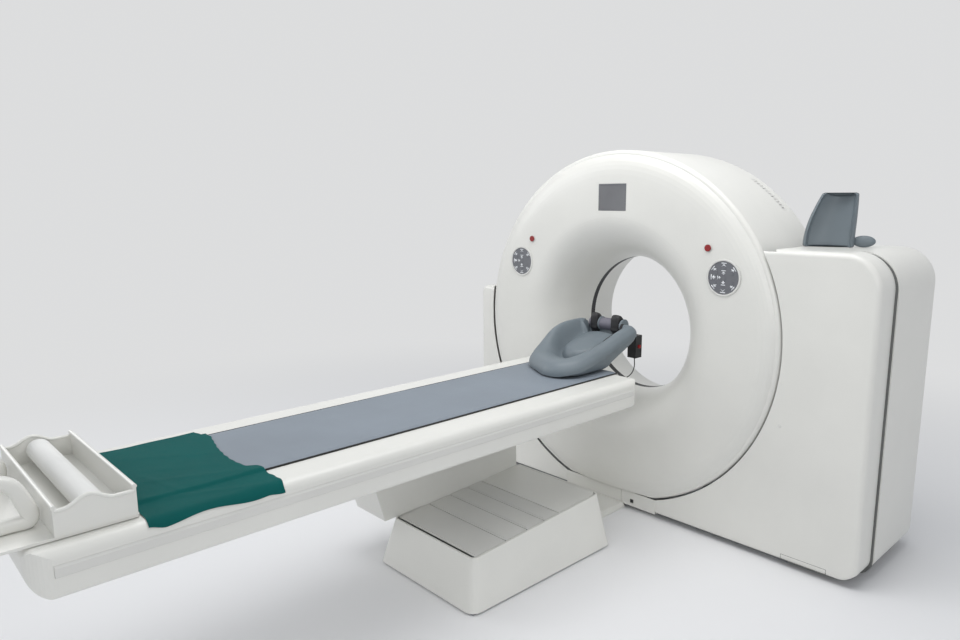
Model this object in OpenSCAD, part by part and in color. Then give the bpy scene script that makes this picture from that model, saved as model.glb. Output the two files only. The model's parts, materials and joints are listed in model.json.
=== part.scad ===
// Computed tomography scanner: a tilting gantry on a floor frame, and a patient table on a lifting pedestal.
// X points right seen from the table, Y from the table into the bore, Z up. Millimetres.
// The origin is on the floor, directly below the centre of the scan plane.

/* [Scan axis and drum] */
// Height of the scan axis above the floor
iso_h = 930; // [915:1:945]
// Radius of the clear bore
bore_r = 350; // [345:1:358]
// Height above the floor at which the drum's full round would end
drum_low = 52; // [50:1:58]
// Y of the fixed front face of the gantry
front_y = -275; // [-280:1:-270]
// Y where the drum's barrel ends at the back
drum_rear_y = 234; // [225:1:240]
// How far the front cover bulges in front of the fixed face
bulge = 31; // [20:1:40]
// Radius where the front funnel begins
funnel_r = 570; // [550:5:590]
// Radius of the opening at the back of the bore
rear_bore_r = 400; // [390:1:410]
// Radius of the rolled edge of the drum's covers
roll_r = 22; // [14:1:26]
// Width of the scan window ring
window_w = 34; // [20:1:38]
// Wall of the moulded covers
skin = 5; // [4:0.5:6]
// Height of the flat cut along the bottom of the drum
chord_z = 100; // [95:1:104]
/* [Fixed gantry covers] */
// Right end of the gantry
right_x = 1265; // [1240:1:1300]
// How far the left cover reaches beyond the drum
left_w = 107; // [105:1:140]
// Height of the right pillar's top above the scan axis
right_rise = 437; // [400:1:470]
// Height of the left cover's top above the scan axis
left_rise = 140; // [125:1:190]
// Y of the gantry's back face
rear_y = 365; // [345:1:400]
// Depth of the right front cover
slab_d = 143; // [130:1:150]
// How far the right front cover's side is set in from the rear cover's
slab_in = 12; // [8:1:16]
// Width of the dark strip between the right covers
strip_w = 10; // [6:1:14]
// Upper corner radius of the right pillar
pillar_r = 150; // [110:5:180]
// Lower corner radius of the right covers
pillar_rb = 75; // [60:1:90]
// Rolled edge of the fixed covers
edge_r = 24; // [14:1:30]
// Gap between the floor and the covers
floor_gap = 20; // [14:1:24]
// Running gap round the drum
drum_gap = 6; // [5:0.5:8]
/* [Gantry frame] */
// Radius of the trunnion pins
trunnion_r = 60; // [50:1:66]
// Thickness of each side stand's bearing boss
boss_w = 60; // [50:1:60]
// Gap between the drum and each stand
stand_gap = 27; // [27:1:34]
// Radius of the floor anchor holes
anchor_r = 9; // [7:0.5:11]
// Height of the cross beams on the floor
beam_h = 44; // [36:1:46]
/* [Rotor] */
// From the drum's outside to the edge of the rotor plate
rotor_gap = 108; // [106:1:128]
// Thickness of the rotor plate
rotor_t = 28; // [20:1:34]
// From the radius of the rear opening to the outside of the hub that turns in the main bearing
hub_gap = 31.7; // [26:0.1:36]
/* [Controls] */
// Radius of the round control panels
panel_r = 81; // [74:1:86]
// How far the centres of the panels and stop buttons lie inside the drum's edge
panel_in = 191.5; // [185:0.5:200]
// Angle of the control panels above the scan axis
panel_angle = 26.4; // [25:0.1:28]
// Width of the display
display_w = 166; // [155:1:180]
// Height of the display
display_h = 130; // [120:1:140]
// How far the display's centre lies inside the drum's edge
display_in = 226; // [215:1:235]
// Radius of the stop buttons
stop_r = 15; // [12:0.5:16]
// Angle of the stop buttons above the scan axis
stop_angle = 38.9; // [38:0.1:41]
// Travel of the stop buttons
stop_travel = 5; // [3:0.5:6]
/* [Table] */
// Half of the width of the table beam
beam_x = 348; // [340:1:356]
// Y of the table beam's foot end
foot_y = -2900; // [-2960:5:-2880]
// Y of the table beam's head end
head_y = -536; // [-545:1:-520]
// Top of the table beam
beam_top = 775; // [770:1:785]
// Height of the table beam
beam_d = 127; // [118:1:134]
// Half of the width of the tabletop
top_x = 222; // [212:1:228]
// Thickness of the tabletop
top_t = 40; // [32:1:44]
// Thickness of the mat
mat_t = 8; // [5:1:12]
// Gap between the tabletop and the beam on each side
top_gap = 4; // [2:0.5:6]
// Height of the side strip's lower edge above the beam's underside
strip_z = 55; // [45:1:60]
// Height of the side strip
side_strip_h = 32; // [24:1:36]
/* [Pedestal] */
// Half of the pedestal's width on the floor
tub_x = 312; // [305:1:320]
// Y of the pedestal's front on the floor
tub_y0 = -1512; // [-1530:1:-1500]
// Y of the pedestal's back on the floor
tub_y1 = -652; // [-660:1:-640]
// Height of the tub's front edge
tub_h0 = 205; // [195:1:212]
// Height of the tub's rear edge
tub_h1 = 250; // [240:1:255]
// Top of the lift housing
housing_h = 380; // [370:1:384]
// Width of the lift housing
housing_w = 218; // [190:1:230]
/* [Tray and roll] */
// Half of the tray's width
tray_x = 305; // [295:1:312]
// Depth of the tray from foot to head
tray_d = 188; // [175:1:200]
// Height of the tray's long walls
tray_h = 74; // [66:1:80]
// Radius of the paper roll
roll_paper_r = 34; // [26:1:36]
// Radius of the roll's spindle
spindle_r = 6; // [4:0.5:7]
/* [Parked cradle] */
// Distance of the parked cradle from the gantry's right end
cradle_in = 357; // [320:1:358]
// Half of the cradle's width at its foot
cradle_w = 103; // [90:1:106]
// Height of the parked cradle
cradle_h = 232; // [200:1:260]

/* [Hidden] */
$fn = 96;
// Gap between pieces of different bodies, and between pieces that lie on each other
gap = 0.3;
white = [0.90, 0.90, 0.87];
grey = [0.42, 0.45, 0.49];
dark = [0.16, 0.16, 0.17];
steel = [0.62, 0.63, 0.65];

// Drum profile
drum_r = iso_h - drum_low;
dome_r = drum_r - roll_r;
dome_y = front_y - 2;
barrel_y0 = dome_y + roll_r;
funnel_depth = -window_w / 2 - (front_y - bulge);
panel_face = front_y - bulge - 1;
control_r = drum_r - panel_in;
panel_x = control_r * cos(panel_angle);
panel_z = iso_h + control_r * sin(panel_angle);
stop_x = control_r * cos(stop_angle);
stop_z = iso_h + control_r * sin(stop_angle);
display_z = iso_h + drum_r - display_in;
panel_depth = 14;
bezel_w = 3;
frame_w = 7;
rear_flat_y = drum_rear_y + gap + roll_r + 6;
cut_r = drum_r + drum_gap;
left_roll = 40;
sweep_r = drum_r + 54;
// Gantry frame
stand_x = drum_r + stand_gap;
stand_out = stand_x + boss_w;
bearing_r = trunnion_r + 25;
boss_r = bearing_r + 18;
stand_y0 = -230;
stand_y1 = 330;
anchor_y = 250;
anchor_mid = 50;
anchor_in = 10;
beam_ys = [stand_y0 + 5, anchor_y];
post_x = right_x - skin - gap;
post_z0 = 110;
right_top = iso_h + right_rise;
post_z1 = right_top - 187;
brace_z = [170, iso_h + boss_r - 25];
bracket_z = [150, iso_h - 170];
trunnion_root = drum_r - 16;
plate_y = 165;
plate_t = 28;
plate_r = drum_r - 63;
// Fixed covers
left_x = drum_r + left_w;
left_top = iso_h + left_rise;
slab_x = right_x - slab_in;
tuck = 16;
strip_y0 = front_y + slab_d;
rear_cover_y0 = strip_y0 + strip_w;
side_split = sqrt(pow(drum_r, 2) - pow(iso_h - chord_z, 2)) + 2.67;
cradle_x = right_x - cradle_in;
kick_top = chord_z - drum_gap;
kick_seam = 81;
// Rotor
rotor_y0 = 90;
rotor_y1 = rotor_y0 + rotor_t;
hub_y1 = 158;
hub_r = rear_bore_r + hub_gap;
hub_in = rear_bore_r - 5;
item_y = rotor_y0 - gap;
rotor_r = drum_r - rotor_gap;
item_out = rotor_r - 25;
item_in = hub_in + 85;
tube_r = (rotor_r - hub_in) / 3;
tube_c = rotor_r - 45 - tube_r;
fan_x = (item_out + item_in) / 2;
fan_r = 0.4 * (item_out - item_in);
// Table
beam_bot = beam_top - beam_d;
shoulder_r = 30;
beam_wall = 4;
slot_x = top_x + top_gap;
slot_z = beam_top - 73;
foot_wall = 12;
top_bot = beam_top - top_t;
top_y0 = foot_y + 20;
top_y1 = head_y + 16;
rail_x = 150;
rail_h = 12;
mat_z = beam_top + gap + mat_t;
foot_plate_z = beam_top + 10;
tray_y0 = foot_y + 72;
tray_y1 = tray_y0 + tray_d;
foot_plate_y1 = tray_y1 + 5;
roll_y = tray_y0 + tray_d / 2;
tray_z = foot_plate_z + gap;
tray_wall = 6;
roll_z = tray_z + tray_wall + roll_paper_r + 5;
sheet_y1 = -2260;
sheet_t = 2.5;
sheet_gap = 0.8;
// Arm and head support
support_z = mat_z + gap;
carrier_z = support_z + 6;
grip_y = -305;
grip_z = 955;
lead_r = 2.5;
lead_pts = [[110, -237, 791.5], [112, -238, 775], [118, -245, 755], [128, -265, 738], [142, -300, 726],
    [156, -345, 720], [170, -395, 722], [182, -440, 732], [192, -475, 744], [200, -500, 752], [204, -519, 755]];
// Pedestal
slope = atan((tub_h1 - tub_h0) / (tub_y1 - tub_y0 - 88));
rim_y0 = tub_y0 + 50;
rim_y1 = tub_y1 - 38;
rim_x = tub_x - 50;
rim_wall = 10;
slat_x = rim_x - rim_wall - 2;
slat_t = 4;
rail_at = slat_x - 22;
base_t = 8;
housing_x1 = -slat_x - 2;
housing_x0 = housing_x1 - housing_w;
housing_back = -1302;
motor_y = -1145;
shaft_z = 50;
shaft_r = 18;
plate_front = -955;
slat_edges = [-1443, -1275, -1152, -1047, plate_front];
// Telescope: widths along X and Y of the outer tube, walls and running gaps
tube_x0 = housing_x1 - 98;
tube_w = 84;
tube_y0 = -1250;
tube_l = 400;
tube_wall = 6;
tube_gap = 0.5;
middle_in = tube_wall + tube_gap;
inner_in = 2 * middle_in;
saddle_t = 16;
saddle_top = beam_bot - gap;
saddle_bot = saddle_top - saddle_t;

function arc(cx, cy, r, a0, a1, n) =
    [for (i = [0:n]) [cx + r * cos(a0 + (a1 - a0) * i / n), cy + r * sin(a0 + (a1 - a0) * i / n)]];
function reversed(v) = [for (i = [len(v) - 1:-1:0]) v[i]];
// A rectangle with its own radius at each corner: low-left, low-right, top-right, top-left
function rounded(x0, z0, x1, z1, r, n = 10) = concat(
    arc(x0 + r[0], z0 + r[0], r[0], 180, 270, n), arc(x1 - r[1], z0 + r[1], r[1], 270, 360, n),
    arc(x1 - r[2], z1 - r[2], r[2], 0, 90, n), arc(x0 + r[3], z1 - r[3], r[3], 90, 180, n));

// Turns a profile of radius and Y about the scan axis
module about_scan_axis() translate([0, 0, iso_h]) rotate([-90, 0, 0]) children();
// Extrudes an outline in X and Z from y0 to y1
module along_y(y0, y1) translate([0, y1, 0]) rotate([90, 0, 0]) linear_extrude(y1 - y0) children();
// Extrudes an outline in Y and Z from x0 to x1
module along_x(x0, x1) translate([x0, 0, 0]) rotate([90, 0, 90]) linear_extrude(x1 - x0) children();
module disc_y(x, z, r, y0, y1) translate([x, y1, z]) rotate([90, 0, 0]) cylinder(r = r, h = y1 - y0);
module disc_x(y, z, r, x0, x1) translate([x0, y, z]) rotate([0, 90, 0]) cylinder(r = r, h = x1 - x0);
module block(lo, hi) translate(lo) cube(hi - lo);
// Takes away everything below the flat under the drum
module flat_bottom() difference() {
    children();
    block([-drum_r, -1000, -1000], [drum_r, 1000, chord_z]);
}

// Front cover of the drum, from its rolled edge to the scan window, t inside the outer face
function dome(u) = [dome_r - (dome_r - funnel_r) * u, dome_y - (bulge - 2) * (1 - pow(1 - u, 8))];
function front_line(t) = concat(
    arc(dome_r, barrel_y0, roll_r - t, 0, -90, 8),
    [for (i = [1:12]) dome(pow(i / 12, 1.6)) + [0, t]],
    [for (i = [1:24]) let (a = 90 * i / 24) [funnel_r - (funnel_r - bore_r - t) * sin(a),
        -window_w / 2 - (funnel_depth - t) * cos(a)]]);
module front_cover() color(white) difference() {
    flat_bottom() about_scan_axis() rotate_extrude($fn = 180)
        polygon(concat(front_line(0), reversed(front_line(skin))));
    for (s = [-1, 1]) {
        disc_y(s * panel_x, panel_z, panel_r + gap, -400, -200);
        disc_y(s * stop_x, stop_z, stop_r + bezel_w + gap, -400, -200);
    }
    block([-display_w / 2 - gap, -400, display_z - display_h / 2 - gap],
        [display_w / 2 + gap, -200, display_z + display_h / 2 + gap]);
}
// Rear cover, with a shallow funnel out to the back of the bore
function rear_line(t) = concat(
    arc(dome_r, drum_rear_y + gap, roll_r - t, 0, 90, 8),
    [[rear_bore_r + 60, rear_flat_y - t]],
    [for (i = [1:12]) let (a = 90 * i / 12) [rear_bore_r + 60 - (60 - t) * sin(a) * 0.8 - 12 * i / 12,
        rear_flat_y - 30 + (30 - t) * cos(a)]],
    [[bore_r + t, window_w / 2]]);
module rear_cover() color(white) flat_bottom() about_scan_axis() rotate_extrude($fn = 180)
    polygon(concat(rear_line(0), reversed(rear_line(skin))));
module drum_cover() color(white) difference() {
    union() {
        flat_bottom() about_scan_axis() rotate_extrude($fn = 180)
            translate([drum_r - skin, barrel_y0 + gap]) square([skin, drum_rear_y - barrel_y0 - gap]);
        intersection() {
            block([-drum_r, barrel_y0 + gap, chord_z], [drum_r, drum_rear_y, chord_z + skin]);
            about_scan_axis() translate([0, 0, -300]) cylinder(r = drum_r - 1, h = 700);
        }
    }
    for (s = [-1, 1]) scale([s, 1, 1]) disc_x(0, iso_h, trunnion_r + 6, drum_r - 40, drum_r + 40);
    about_scan_axis() rotate([0, 0, -57]) rotate_extrude(angle = 15)
        translate([drum_r - 30, 150 - gap]) square([60, 40 + 2 * gap]);
}
// Outlet grille: slots across a curved plate at the back of the barrel
module outlet_grille() color(grey) difference() {
    about_scan_axis() rotate([0, 0, -57 + 0.03]) rotate_extrude(angle = 14.94)
        translate([drum_r - skin, 150]) square([skin - 1, 40]);
    for (i = [1:11]) about_scan_axis() rotate([0, 0, -57 + i * 1.25]) translate([drum_r - 20, -2, 156])
        cube([40, 4, 28]);
}
module scan_window() color(dark) about_scan_axis() rotate_extrude($fn = 180)
    translate([bore_r, -window_w / 2 + gap]) square([2, window_w - 2 * gap]);
module main_bearing() color(steel) about_scan_axis() rotate_extrude($fn = 120)
    translate([hub_r + gap, rotor_y1 + 4]) square([40, plate_y - rotor_y1 - 4]);

// Tilt frame: ring plate behind the rotor, side blocks and the two trunnion pins
module tilt_frame() color(steel) difference() {
    union() {
        about_scan_axis() translate([0, 0, plate_y]) cylinder(r = plate_r, h = plate_t, $fn = 120);
        intersection() {
            about_scan_axis() translate([0, 0, plate_y]) cylinder(r = drum_r - skin - gap, h = plate_t, $fn = 120);
            for (a = [-150, -90, -30, 30, 150]) about_scan_axis() rotate([0, 0, a])
                translate([plate_r - 20, -40, 0]) cube([100, 80, 400]);
        }
        for (s = [-1, 1]) scale([s, 1, 1]) {
            block([plate_r - 25, -80, iso_h - 85], [trunnion_root, plate_y + plate_t, iso_h + 85]);
            disc_x(0, iso_h, trunnion_r, trunnion_root - 10, stand_out + 3);
        }
    }
    about_scan_axis() cylinder(r = hub_r - 2, h = 400, $fn = 120);
    for (a = [30:60:330]) about_scan_axis() rotate([0, 0, a]) translate([plate_r - 195, 0, 100])
        cylinder(r = 70, h = 200);
}
// Rotor plate and hub, with the items it carries
module rotor_plate() color(steel) difference() {
    about_scan_axis() rotate_extrude($fn = 120) polygon([[hub_in, rotor_y0], [rotor_r, rotor_y0],
        [rotor_r, rotor_y1], [hub_r, rotor_y1], [hub_r, hub_y1], [hub_in, hub_y1]]);
    for (a = [45:90:315]) about_scan_axis() rotate([0, 0, a]) translate([hub_r + 108, 0, 50])
        cylinder(r = 60, h = 200);
}
module tube_housing() color([0.75, 0.74, 0.70]) {
    disc_y(0, iso_h + tube_c, tube_r, -110, item_y);
    disc_y(0, iso_h + tube_c, tube_r - 30, -135, -110);
    for (s = [-1, 1]) translate([s * 60, 45, iso_h + tube_c + tube_r - 30]) block([-12, -25, 0], [12, 25, 44]);
}
module collimator() color(dark) difference() {
    block([-75, -60, iso_h + 402], [75, item_y, iso_h + tube_c - tube_r - gap]);
    block([-22, -30, iso_h + 390], [22, 30, iso_h + tube_c - tube_r + 1]);
}
module detector_arc() color([0.30, 0.32, 0.36]) about_scan_axis() rotate([0, 0, 64]) difference() {
    rotate_extrude(angle = 52) translate([rotor_r - 210, -70]) square([90, 70 + item_y]);
    rotate([0, 0, 2]) rotate_extrude(angle = 48) translate([rotor_r - 220, -40]) square([30, 80]);
}
module generator() color([0.70, 0.70, 0.66]) difference() {
    block([-item_out, -100, iso_h - 150], [-item_in, item_y, iso_h + 150]);
    for (z = [-120:24:120]) block([-item_out - 1, -101, iso_h + z - 4], [9 - item_out, item_y + 1, iso_h + z + 4]);
}
module heat_exchanger() color([0.60, 0.62, 0.64]) difference() {
    block([item_in, -100, iso_h - 150], [item_out, item_y, iso_h + 150]);
    disc_y(fan_x, iso_h, fan_r, -101, -60);
    disc_y(fan_x, iso_h, fan_r + 7, -90, -60);
}
module balance_weights() color(dark) for (a = [35, 130, 212, 318])
    about_scan_axis() rotate([0, 0, -a - 10]) rotate_extrude(angle = 14)
        translate([rotor_r - 110, 30]) square([100, item_y - 30]);

// Control panels, display and stop buttons, set in the front cover
module key_marks() for (a = [0:60:300]) rotate([0, 0, a]) translate([0, panel_r * 0.56, 0])
    cylinder(r = 9, h = 1.5, $fn = 24);
module control_panel(s) color(grey) {
    disc_y(s * panel_x, panel_z, panel_r, panel_face, panel_face + panel_depth);
    translate([s * panel_x, panel_face, panel_z]) rotate([90, 0, 0]) {
        difference() {
            cylinder(r = panel_r, h = 2);
            translate([0, 0, -1]) cylinder(r = panel_r - 7, h = 4);
        }
        key_marks();
        cylinder(r = 12, h = 1.5);
    }
}
module control_panel_left() control_panel(-1);
module control_panel_right() control_panel(1);
module display() color(dark) difference() {
    block([-display_w / 2, panel_face, display_z - display_h / 2],
        [display_w / 2, panel_face + panel_depth, display_z + display_h / 2]);
    block([frame_w - display_w / 2, panel_face - 1, display_z - display_h / 2 + frame_w],
        [display_w / 2 - frame_w, panel_face + 1, display_z + display_h / 2 - frame_w]);
}
module stop_bezels() color(grey) for (s = [-1, 1]) difference() {
    disc_y(s * stop_x, stop_z, stop_r + bezel_w, panel_face - 1, panel_face + panel_depth + 4);
    disc_y(s * stop_x, stop_z, stop_r + gap, panel_face - 2, panel_face + panel_depth);
    disc_y(s * stop_x, stop_z, 6 + gap, panel_face, panel_face + 20);
}
module stop_button(s) color("firebrick") {
    disc_y(s * stop_x, stop_z, stop_r, panel_face - 6, panel_face + panel_depth - stop_travel - 1);
    disc_y(s * stop_x, stop_z, 6, panel_face, panel_face + 24);
}
module stop_button_left() stop_button(-1);
module stop_button_right() stop_button(1);

// Joins outlines of equal length, given from front to back, into one solid
module loft(rings) {
    n = len(rings[0]);
    last = len(rings) - 1;
    polyhedron(points = [for (g = rings) each g], faces = concat(
        [[for (k = [0:n - 1]) n - 1 - k]], [[for (k = [0:n - 1]) last * n + k]],
        [for (i = [0:last - 1]) for (k = [0:n - 1]) let (m = (k + 1) % n)
            [i * n + k, i * n + m, (i + 1) * n + m, (i + 1) * n + k]]));
}
// Outline of a side cover at one Y: open towards the drum, t inside its outer face, q in from its edge
function cover_ring(x1, z1, rb, rt, t, q, y) =
    let (x0 = side_split - t, z0 = t > 0 ? floor_gap - 10 : floor_gap, xo = x1 - t - q, zo = z1 - t - q)
    [for (p = concat([[x0, zo], [x0, z0 + q]], arc(xo - rb + t + q, z0 + q + rb - t - q, rb - t - q, -90, 0, 6),
        arc(xo - rt + t + q, zo - rt + t + q, rt - t - q, 0, 90, 10))) [p[0], y, p[1]]];
// Outlines of a rolled edge of radius e at y, the roll running towards dir
function rolled(x1, z1, rb, rt, t, y, e, dir) = let (v = [for (k = [0:4]) let (a = 22.5 * k)
    cover_ring(x1, z1, rb, rt, t, (e - t) * (1 - sin(a)), y + dir * (t + (e - t) * (1 - cos(a))))])
    dir > 0 ? v : reversed(v);
// The room that the drum needs: its own circle at the front, its swept path behind
module drum_room() about_scan_axis() rotate_extrude($fn = 180)
    polygon([[0, -600], [cut_r, -600], [cut_r, front_y + skin], [sweep_r, front_y + skin], [sweep_r, 800],
        [0, 800]]);
module right_front_cover() color(white) difference() {
    loft(concat(rolled(slab_x, right_top, pillar_rb, pillar_r, 0, front_y, edge_r, 1),
        [cover_ring(slab_x, right_top, pillar_rb, pillar_r, 0, 0, strip_y0)]));
    loft(concat(rolled(slab_x, right_top, pillar_rb, pillar_r, skin, front_y, edge_r, 1),
        [cover_ring(slab_x, right_top, pillar_rb, pillar_r, skin, 0, strip_y0 + 1)]));
    drum_room();
}
module right_rear_cover() color(white) difference() {
    loft(concat([cover_ring(right_x, right_top, pillar_rb, pillar_r, 0, 0, rear_cover_y0)],
        rolled(right_x, right_top, pillar_rb, pillar_r, 0, rear_y, 2 * edge_r, -1)));
    loft(concat([cover_ring(right_x, right_top, pillar_rb, pillar_r, skin, 0, rear_cover_y0 - 1)],
        rolled(right_x, right_top, pillar_rb, pillar_r, skin, rear_y, 2 * edge_r, -1)));
    drum_room();
}
// Dark strip seen between the two right covers, tucked under both of their edges, with a step where they meet
function strip_ring(x1, t, y) = cover_ring(x1, right_top, pillar_rb, pillar_r, t, 0, y);
function strip_form(t, d) = [strip_ring(slab_x, t, strip_y0 - tuck - d), strip_ring(slab_x, t, strip_y0 + gap + 5 * d),
    strip_ring(right_x, t, strip_y0 + gap + 2 + 5 * d), strip_ring(right_x, t, rear_cover_y0 + tuck + d)];
module reveal_strip() color(dark) difference() {
    loft(strip_form(skin + gap, 0));
    loft(strip_form(2 * skin, 1));
    drum_room();
}
module left_form(t) loft(concat(rolled(left_x, left_top, 45, 45, t, front_y, edge_r, 1),
    rolled(left_x, left_top, 45, 45, t, rear_y, left_roll, -1)));
module left_side_cover() color(white) difference() {
    mirror([1, 0, 0]) difference() {
        left_form(0);
        left_form(skin);
    }
    about_scan_axis() translate([0, 0, -400]) cylinder(r = cut_r, h = 401 + front_y + skin, $fn = 180);
    intersection() {
        about_scan_axis() translate([0, 0, front_y + skin - 1]) cylinder(r = sweep_r, h = 1000, $fn = 180);
        block([-cut_r, -1000, -10], [0, 1000, 3000]);
    }
}
module kick_panel(x0, x1) color(white) {
    block([x0, front_y, floor_gap], [x1, front_y + skin, kick_top]);
    block([x0, front_y + skin, floor_gap], [x1, front_y + 25, floor_gap + 4]);
}
module kick_panel_left() kick_panel(-side_split + 1, kick_seam - 1);
module kick_panel_right() difference() {
    kick_panel(kick_seam + 1, side_split - 1);
    disc_y(149, 48, 7 + gap, front_y - 1, front_y + skin + 1);
}
module kick_latch() color(dark) {
    disc_y(149, 48, 7, front_y - 1, front_y + skin + 4);
    block([140, front_y - 3, 39], [158, front_y - gap, 57]);
}

// Floor frame with a stand at each side
module stand_outline() difference() {
    union() {
        polygon([[stand_y0, 0], [stand_y1, 0], [stand_y1, beam_h], [boss_r, iso_h], [-boss_r, iso_h],
            [stand_y0, beam_h]]);
        translate([0, iso_h]) circle(r = boss_r);
    }
    translate([30, 400]) circle(r = 130);
    translate([20, 640]) circle(r = 70);
}
module gantry_base_frame() color(steel) difference() {
    union() {
        for (s = [-1, 1]) scale([s, 1, 1]) {
            along_x(stand_x + 15, stand_x + 40) stand_outline();
            disc_x(0, iso_h, boss_r, stand_x, stand_out);
            block([stand_x - 20, stand_y0, 0], [stand_x + 45, stand_y1, 30]);
        }
        for (y = beam_ys) block([-stand_x, y, 0], [stand_x, y + 60, beam_h]);
        block([-60, -170, 0], [60, 255, 12]);
        for (x = [-200, -30, 200])
            block([x - 15, front_y + skin + gap, beam_h - 14], [x + 15, beam_ys[0] + 5, beam_h]);
        for (z = bracket_z) block([-left_x + skin + gap, -60, z], [-stand_x - 20, 0, z + 40]);
        block([stand_x + 30, -160, 0], [right_x - pillar_rb - 10, 280, 12]);
        block([post_x - 30, -60, post_z0], [post_x, 20, post_z1]);
        for (z = brace_z) block([stand_x + 20, -60, z], [post_x, -20, z + 40]);
    }
    for (s = [-1, 1]) scale([s, 1, 1]) disc_x(0, iso_h, bearing_r, stand_x - 1, stand_out + 1);
    for (s = [-1, 1]) for (t = [-1, 1]) translate([s * (stand_x - anchor_in), anchor_mid + t * anchor_y, -1])
        cylinder(r = anchor_r, h = 100);
    for (y = beam_ys) block([40 - stand_x, y + 4, 4], [stand_x - 40, y + 56, beam_h - 4]);
}
module trunnion_bearings() color([0.55, 0.56, 0.58]) for (s = [-1, 1]) scale([s, 1, 1]) difference() {
    disc_x(0, iso_h, bearing_r - gap, stand_x + 2, stand_out - 2);
    disc_x(0, iso_h, trunnion_r + gap, stand_x, stand_out);
}
module floor_duct() color(white) difference() {
    along_y(tub_y1 + gap, front_y - gap)
        polygon([[-300, 0], [105, 0], [105, 12], [92, 27], [-287, 27], [-300, 12]]);
    along_y(tub_y1 - 1, front_y + 1)
        polygon([[-290, -1], [96, -1], [96, 12], [88, 22], [-283, 22], [-290, 12]]);
}
// Spare cradle that stands on end on the right pillar, its channel towards the table, with its tongue beside it
module cradle_disc(w, d, h) scale([w / 100, d / 100, 1]) cylinder(r = 100, h = h, $fn = 40);
module parked_cradle() color(grey) translate([cradle_x, 50, right_top + gap]) rotate([0, 0, 19]) {
    difference() {
        hull() {
            cradle_disc(cradle_w, 44, 2);
            translate([36, 10, cradle_h - 10]) cradle_disc(cradle_w - 32, 36, 10);
        }
        hull() {
            translate([1, -28, 10]) cradle_disc(cradle_w - 20, 44, 2);
            translate([38, -20, cradle_h + 30]) cradle_disc(cradle_w - 52, 36, 10);
        }
    }
    translate([cradle_w + 36, 7, 25.5]) scale([1, 1, 0.55]) rotate([90, 0, 0]) cylinder(r = 46, h = 14, $fn = 40);
}

// Tub cover of the pedestal: tapered walls round an opening that slopes up to the back
module tub_plane(x0, x1, y0, y1, t, r, back_r = 0) translate([0, rim_y0, tub_h0]) rotate([slope, 0, 0])
    translate([0, -rim_y0, -t]) linear_extrude(t)
        polygon(rounded(x0, y0, x1, y1, [r, r, max(r, back_r), max(r, back_r)], 6));
module tub_form(q, z0, top) hull() {
    translate([0, 0, z0]) linear_extrude(1)
        polygon(rounded(-tub_x + q, tub_y0 + q, tub_x - q, tub_y1 - q, [for (i = [0:3]) 45 - q], 6));
    translate([0, 0, top]) tub_plane(-rim_x + q, rim_x - q, rim_y0 + q, rim_y1 - q, 1, 26 - q);
}
module pedestal_tub() color(white) difference() {
    tub_form(0, base_t + gap, 0);
    tub_form(rim_wall, base_t, 3);
    block([-tub_x - 5, housing_back, 0], [housing_x1 + 1, tub_y1 + 5, 400]);
}
module pedestal_base() color(steel) difference() {
    union() {
        slat_rails();
        block([-tub_x + 14, tub_y0 + 14, 0], [tub_x - 14, tub_y1 - 14, base_t]);
        block([housing_x0 + 12, housing_back + 10, 0], [-tub_x + 20, -720, base_t]);
    }
    for (s = [-1, 1]) for (y = [-1430, -730]) translate([s * 180, y, -1]) cylinder(r = anchor_r, h = 20);
}
// Rails and posts that carry the slats and the rear plate
module slat_rails() for (s = [-1, 1]) {
    translate([0, 0, -slat_t - gap])
        tub_plane(s * rail_at - 10, s * rail_at + 10, slat_edges[0] + 5, rim_y1 - 20, 6, 1);
    for (y = [-1380, -1080, -740]) block([s * rail_at - 6, y - 6, base_t],
        [s * rail_at + 6, y + 6, tub_h0 + (y - rim_y0) * tan(slope) - slat_t - 3]);
}
module slat(i) color(white) difference() {
    tub_plane(-slat_x, slat_x, slat_edges[i] + 2.5, slat_edges[i + 1] - 2.5, slat_t, 3);
    translate([0, 0, 1.5]) tub_plane(-slat_x + 12, slat_x - 12, slat_edges[i] + 2, slat_edges[i] + 12, 2.7, 1);
}
module slat_1() slat(0);
module slat_2() slat(1);
module slat_3() slat(2);
module slat_4() slat(3);

// Lift housing beside the slats, with the plate that closes the back of the tub
function housing_line(t) = concat(
    [[housing_back + t, 9 + t], [-706 - t, 9 + t]],
    arc(-714 - 12 - t, housing_h - 12 - t, 12, 0, 90, 5),
    arc(-1548 + t, housing_h - 12 - t, 12, 90, 172, 5),
    [[-1512 + t, tub_h0 + 2 + t], [housing_back + t, tub_h0 + 12 + t]]);
module lift_housing() color(white) {
    difference() {
        along_x(housing_x0, housing_x1) polygon(housing_line(0));
        along_x(housing_x0 + skin, housing_x1 - skin) polygon(housing_line(skin));
        block([housing_x0 + skin, housing_back + 10, 0], [housing_x1 - skin, -720, 20]);
        disc_x(motor_y, shaft_z, shaft_r + 4, housing_x1 - skin - 1, housing_x1 + 1);
        block([tube_x0 - 1, tube_y0 - 1, housing_h - 30],
            [tube_x0 + tube_w + 1, tube_y0 + tube_l + 1, housing_h + 10]);
    }
    tub_plane(housing_x1 - 1, slat_x, plate_front + 2.5, rim_y1 - rim_wall - 2, slat_t, 1, 20);
}
module box_tube(x0, y0, z0, x1, y1, z1, w) difference() {
    block([x0, y0, z0], [x1, y1, z1]);
    block([x0 + w, y0 + w, z0 - 1], [x1 - w, y1 - w, z1 + 1]);
}
module stage(inset, z0, z1, w) box_tube(tube_x0 + inset, tube_y0 + inset, z0,
    tube_x0 + tube_w - inset, tube_y0 + tube_l - inset, z1, w);
module lift_outer_tube() color(steel) stage(0, base_t + gap, housing_h - 2, tube_wall);
module lift_middle_tube() color(steel) stage(middle_in, 150, 490, tube_wall);
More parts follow.
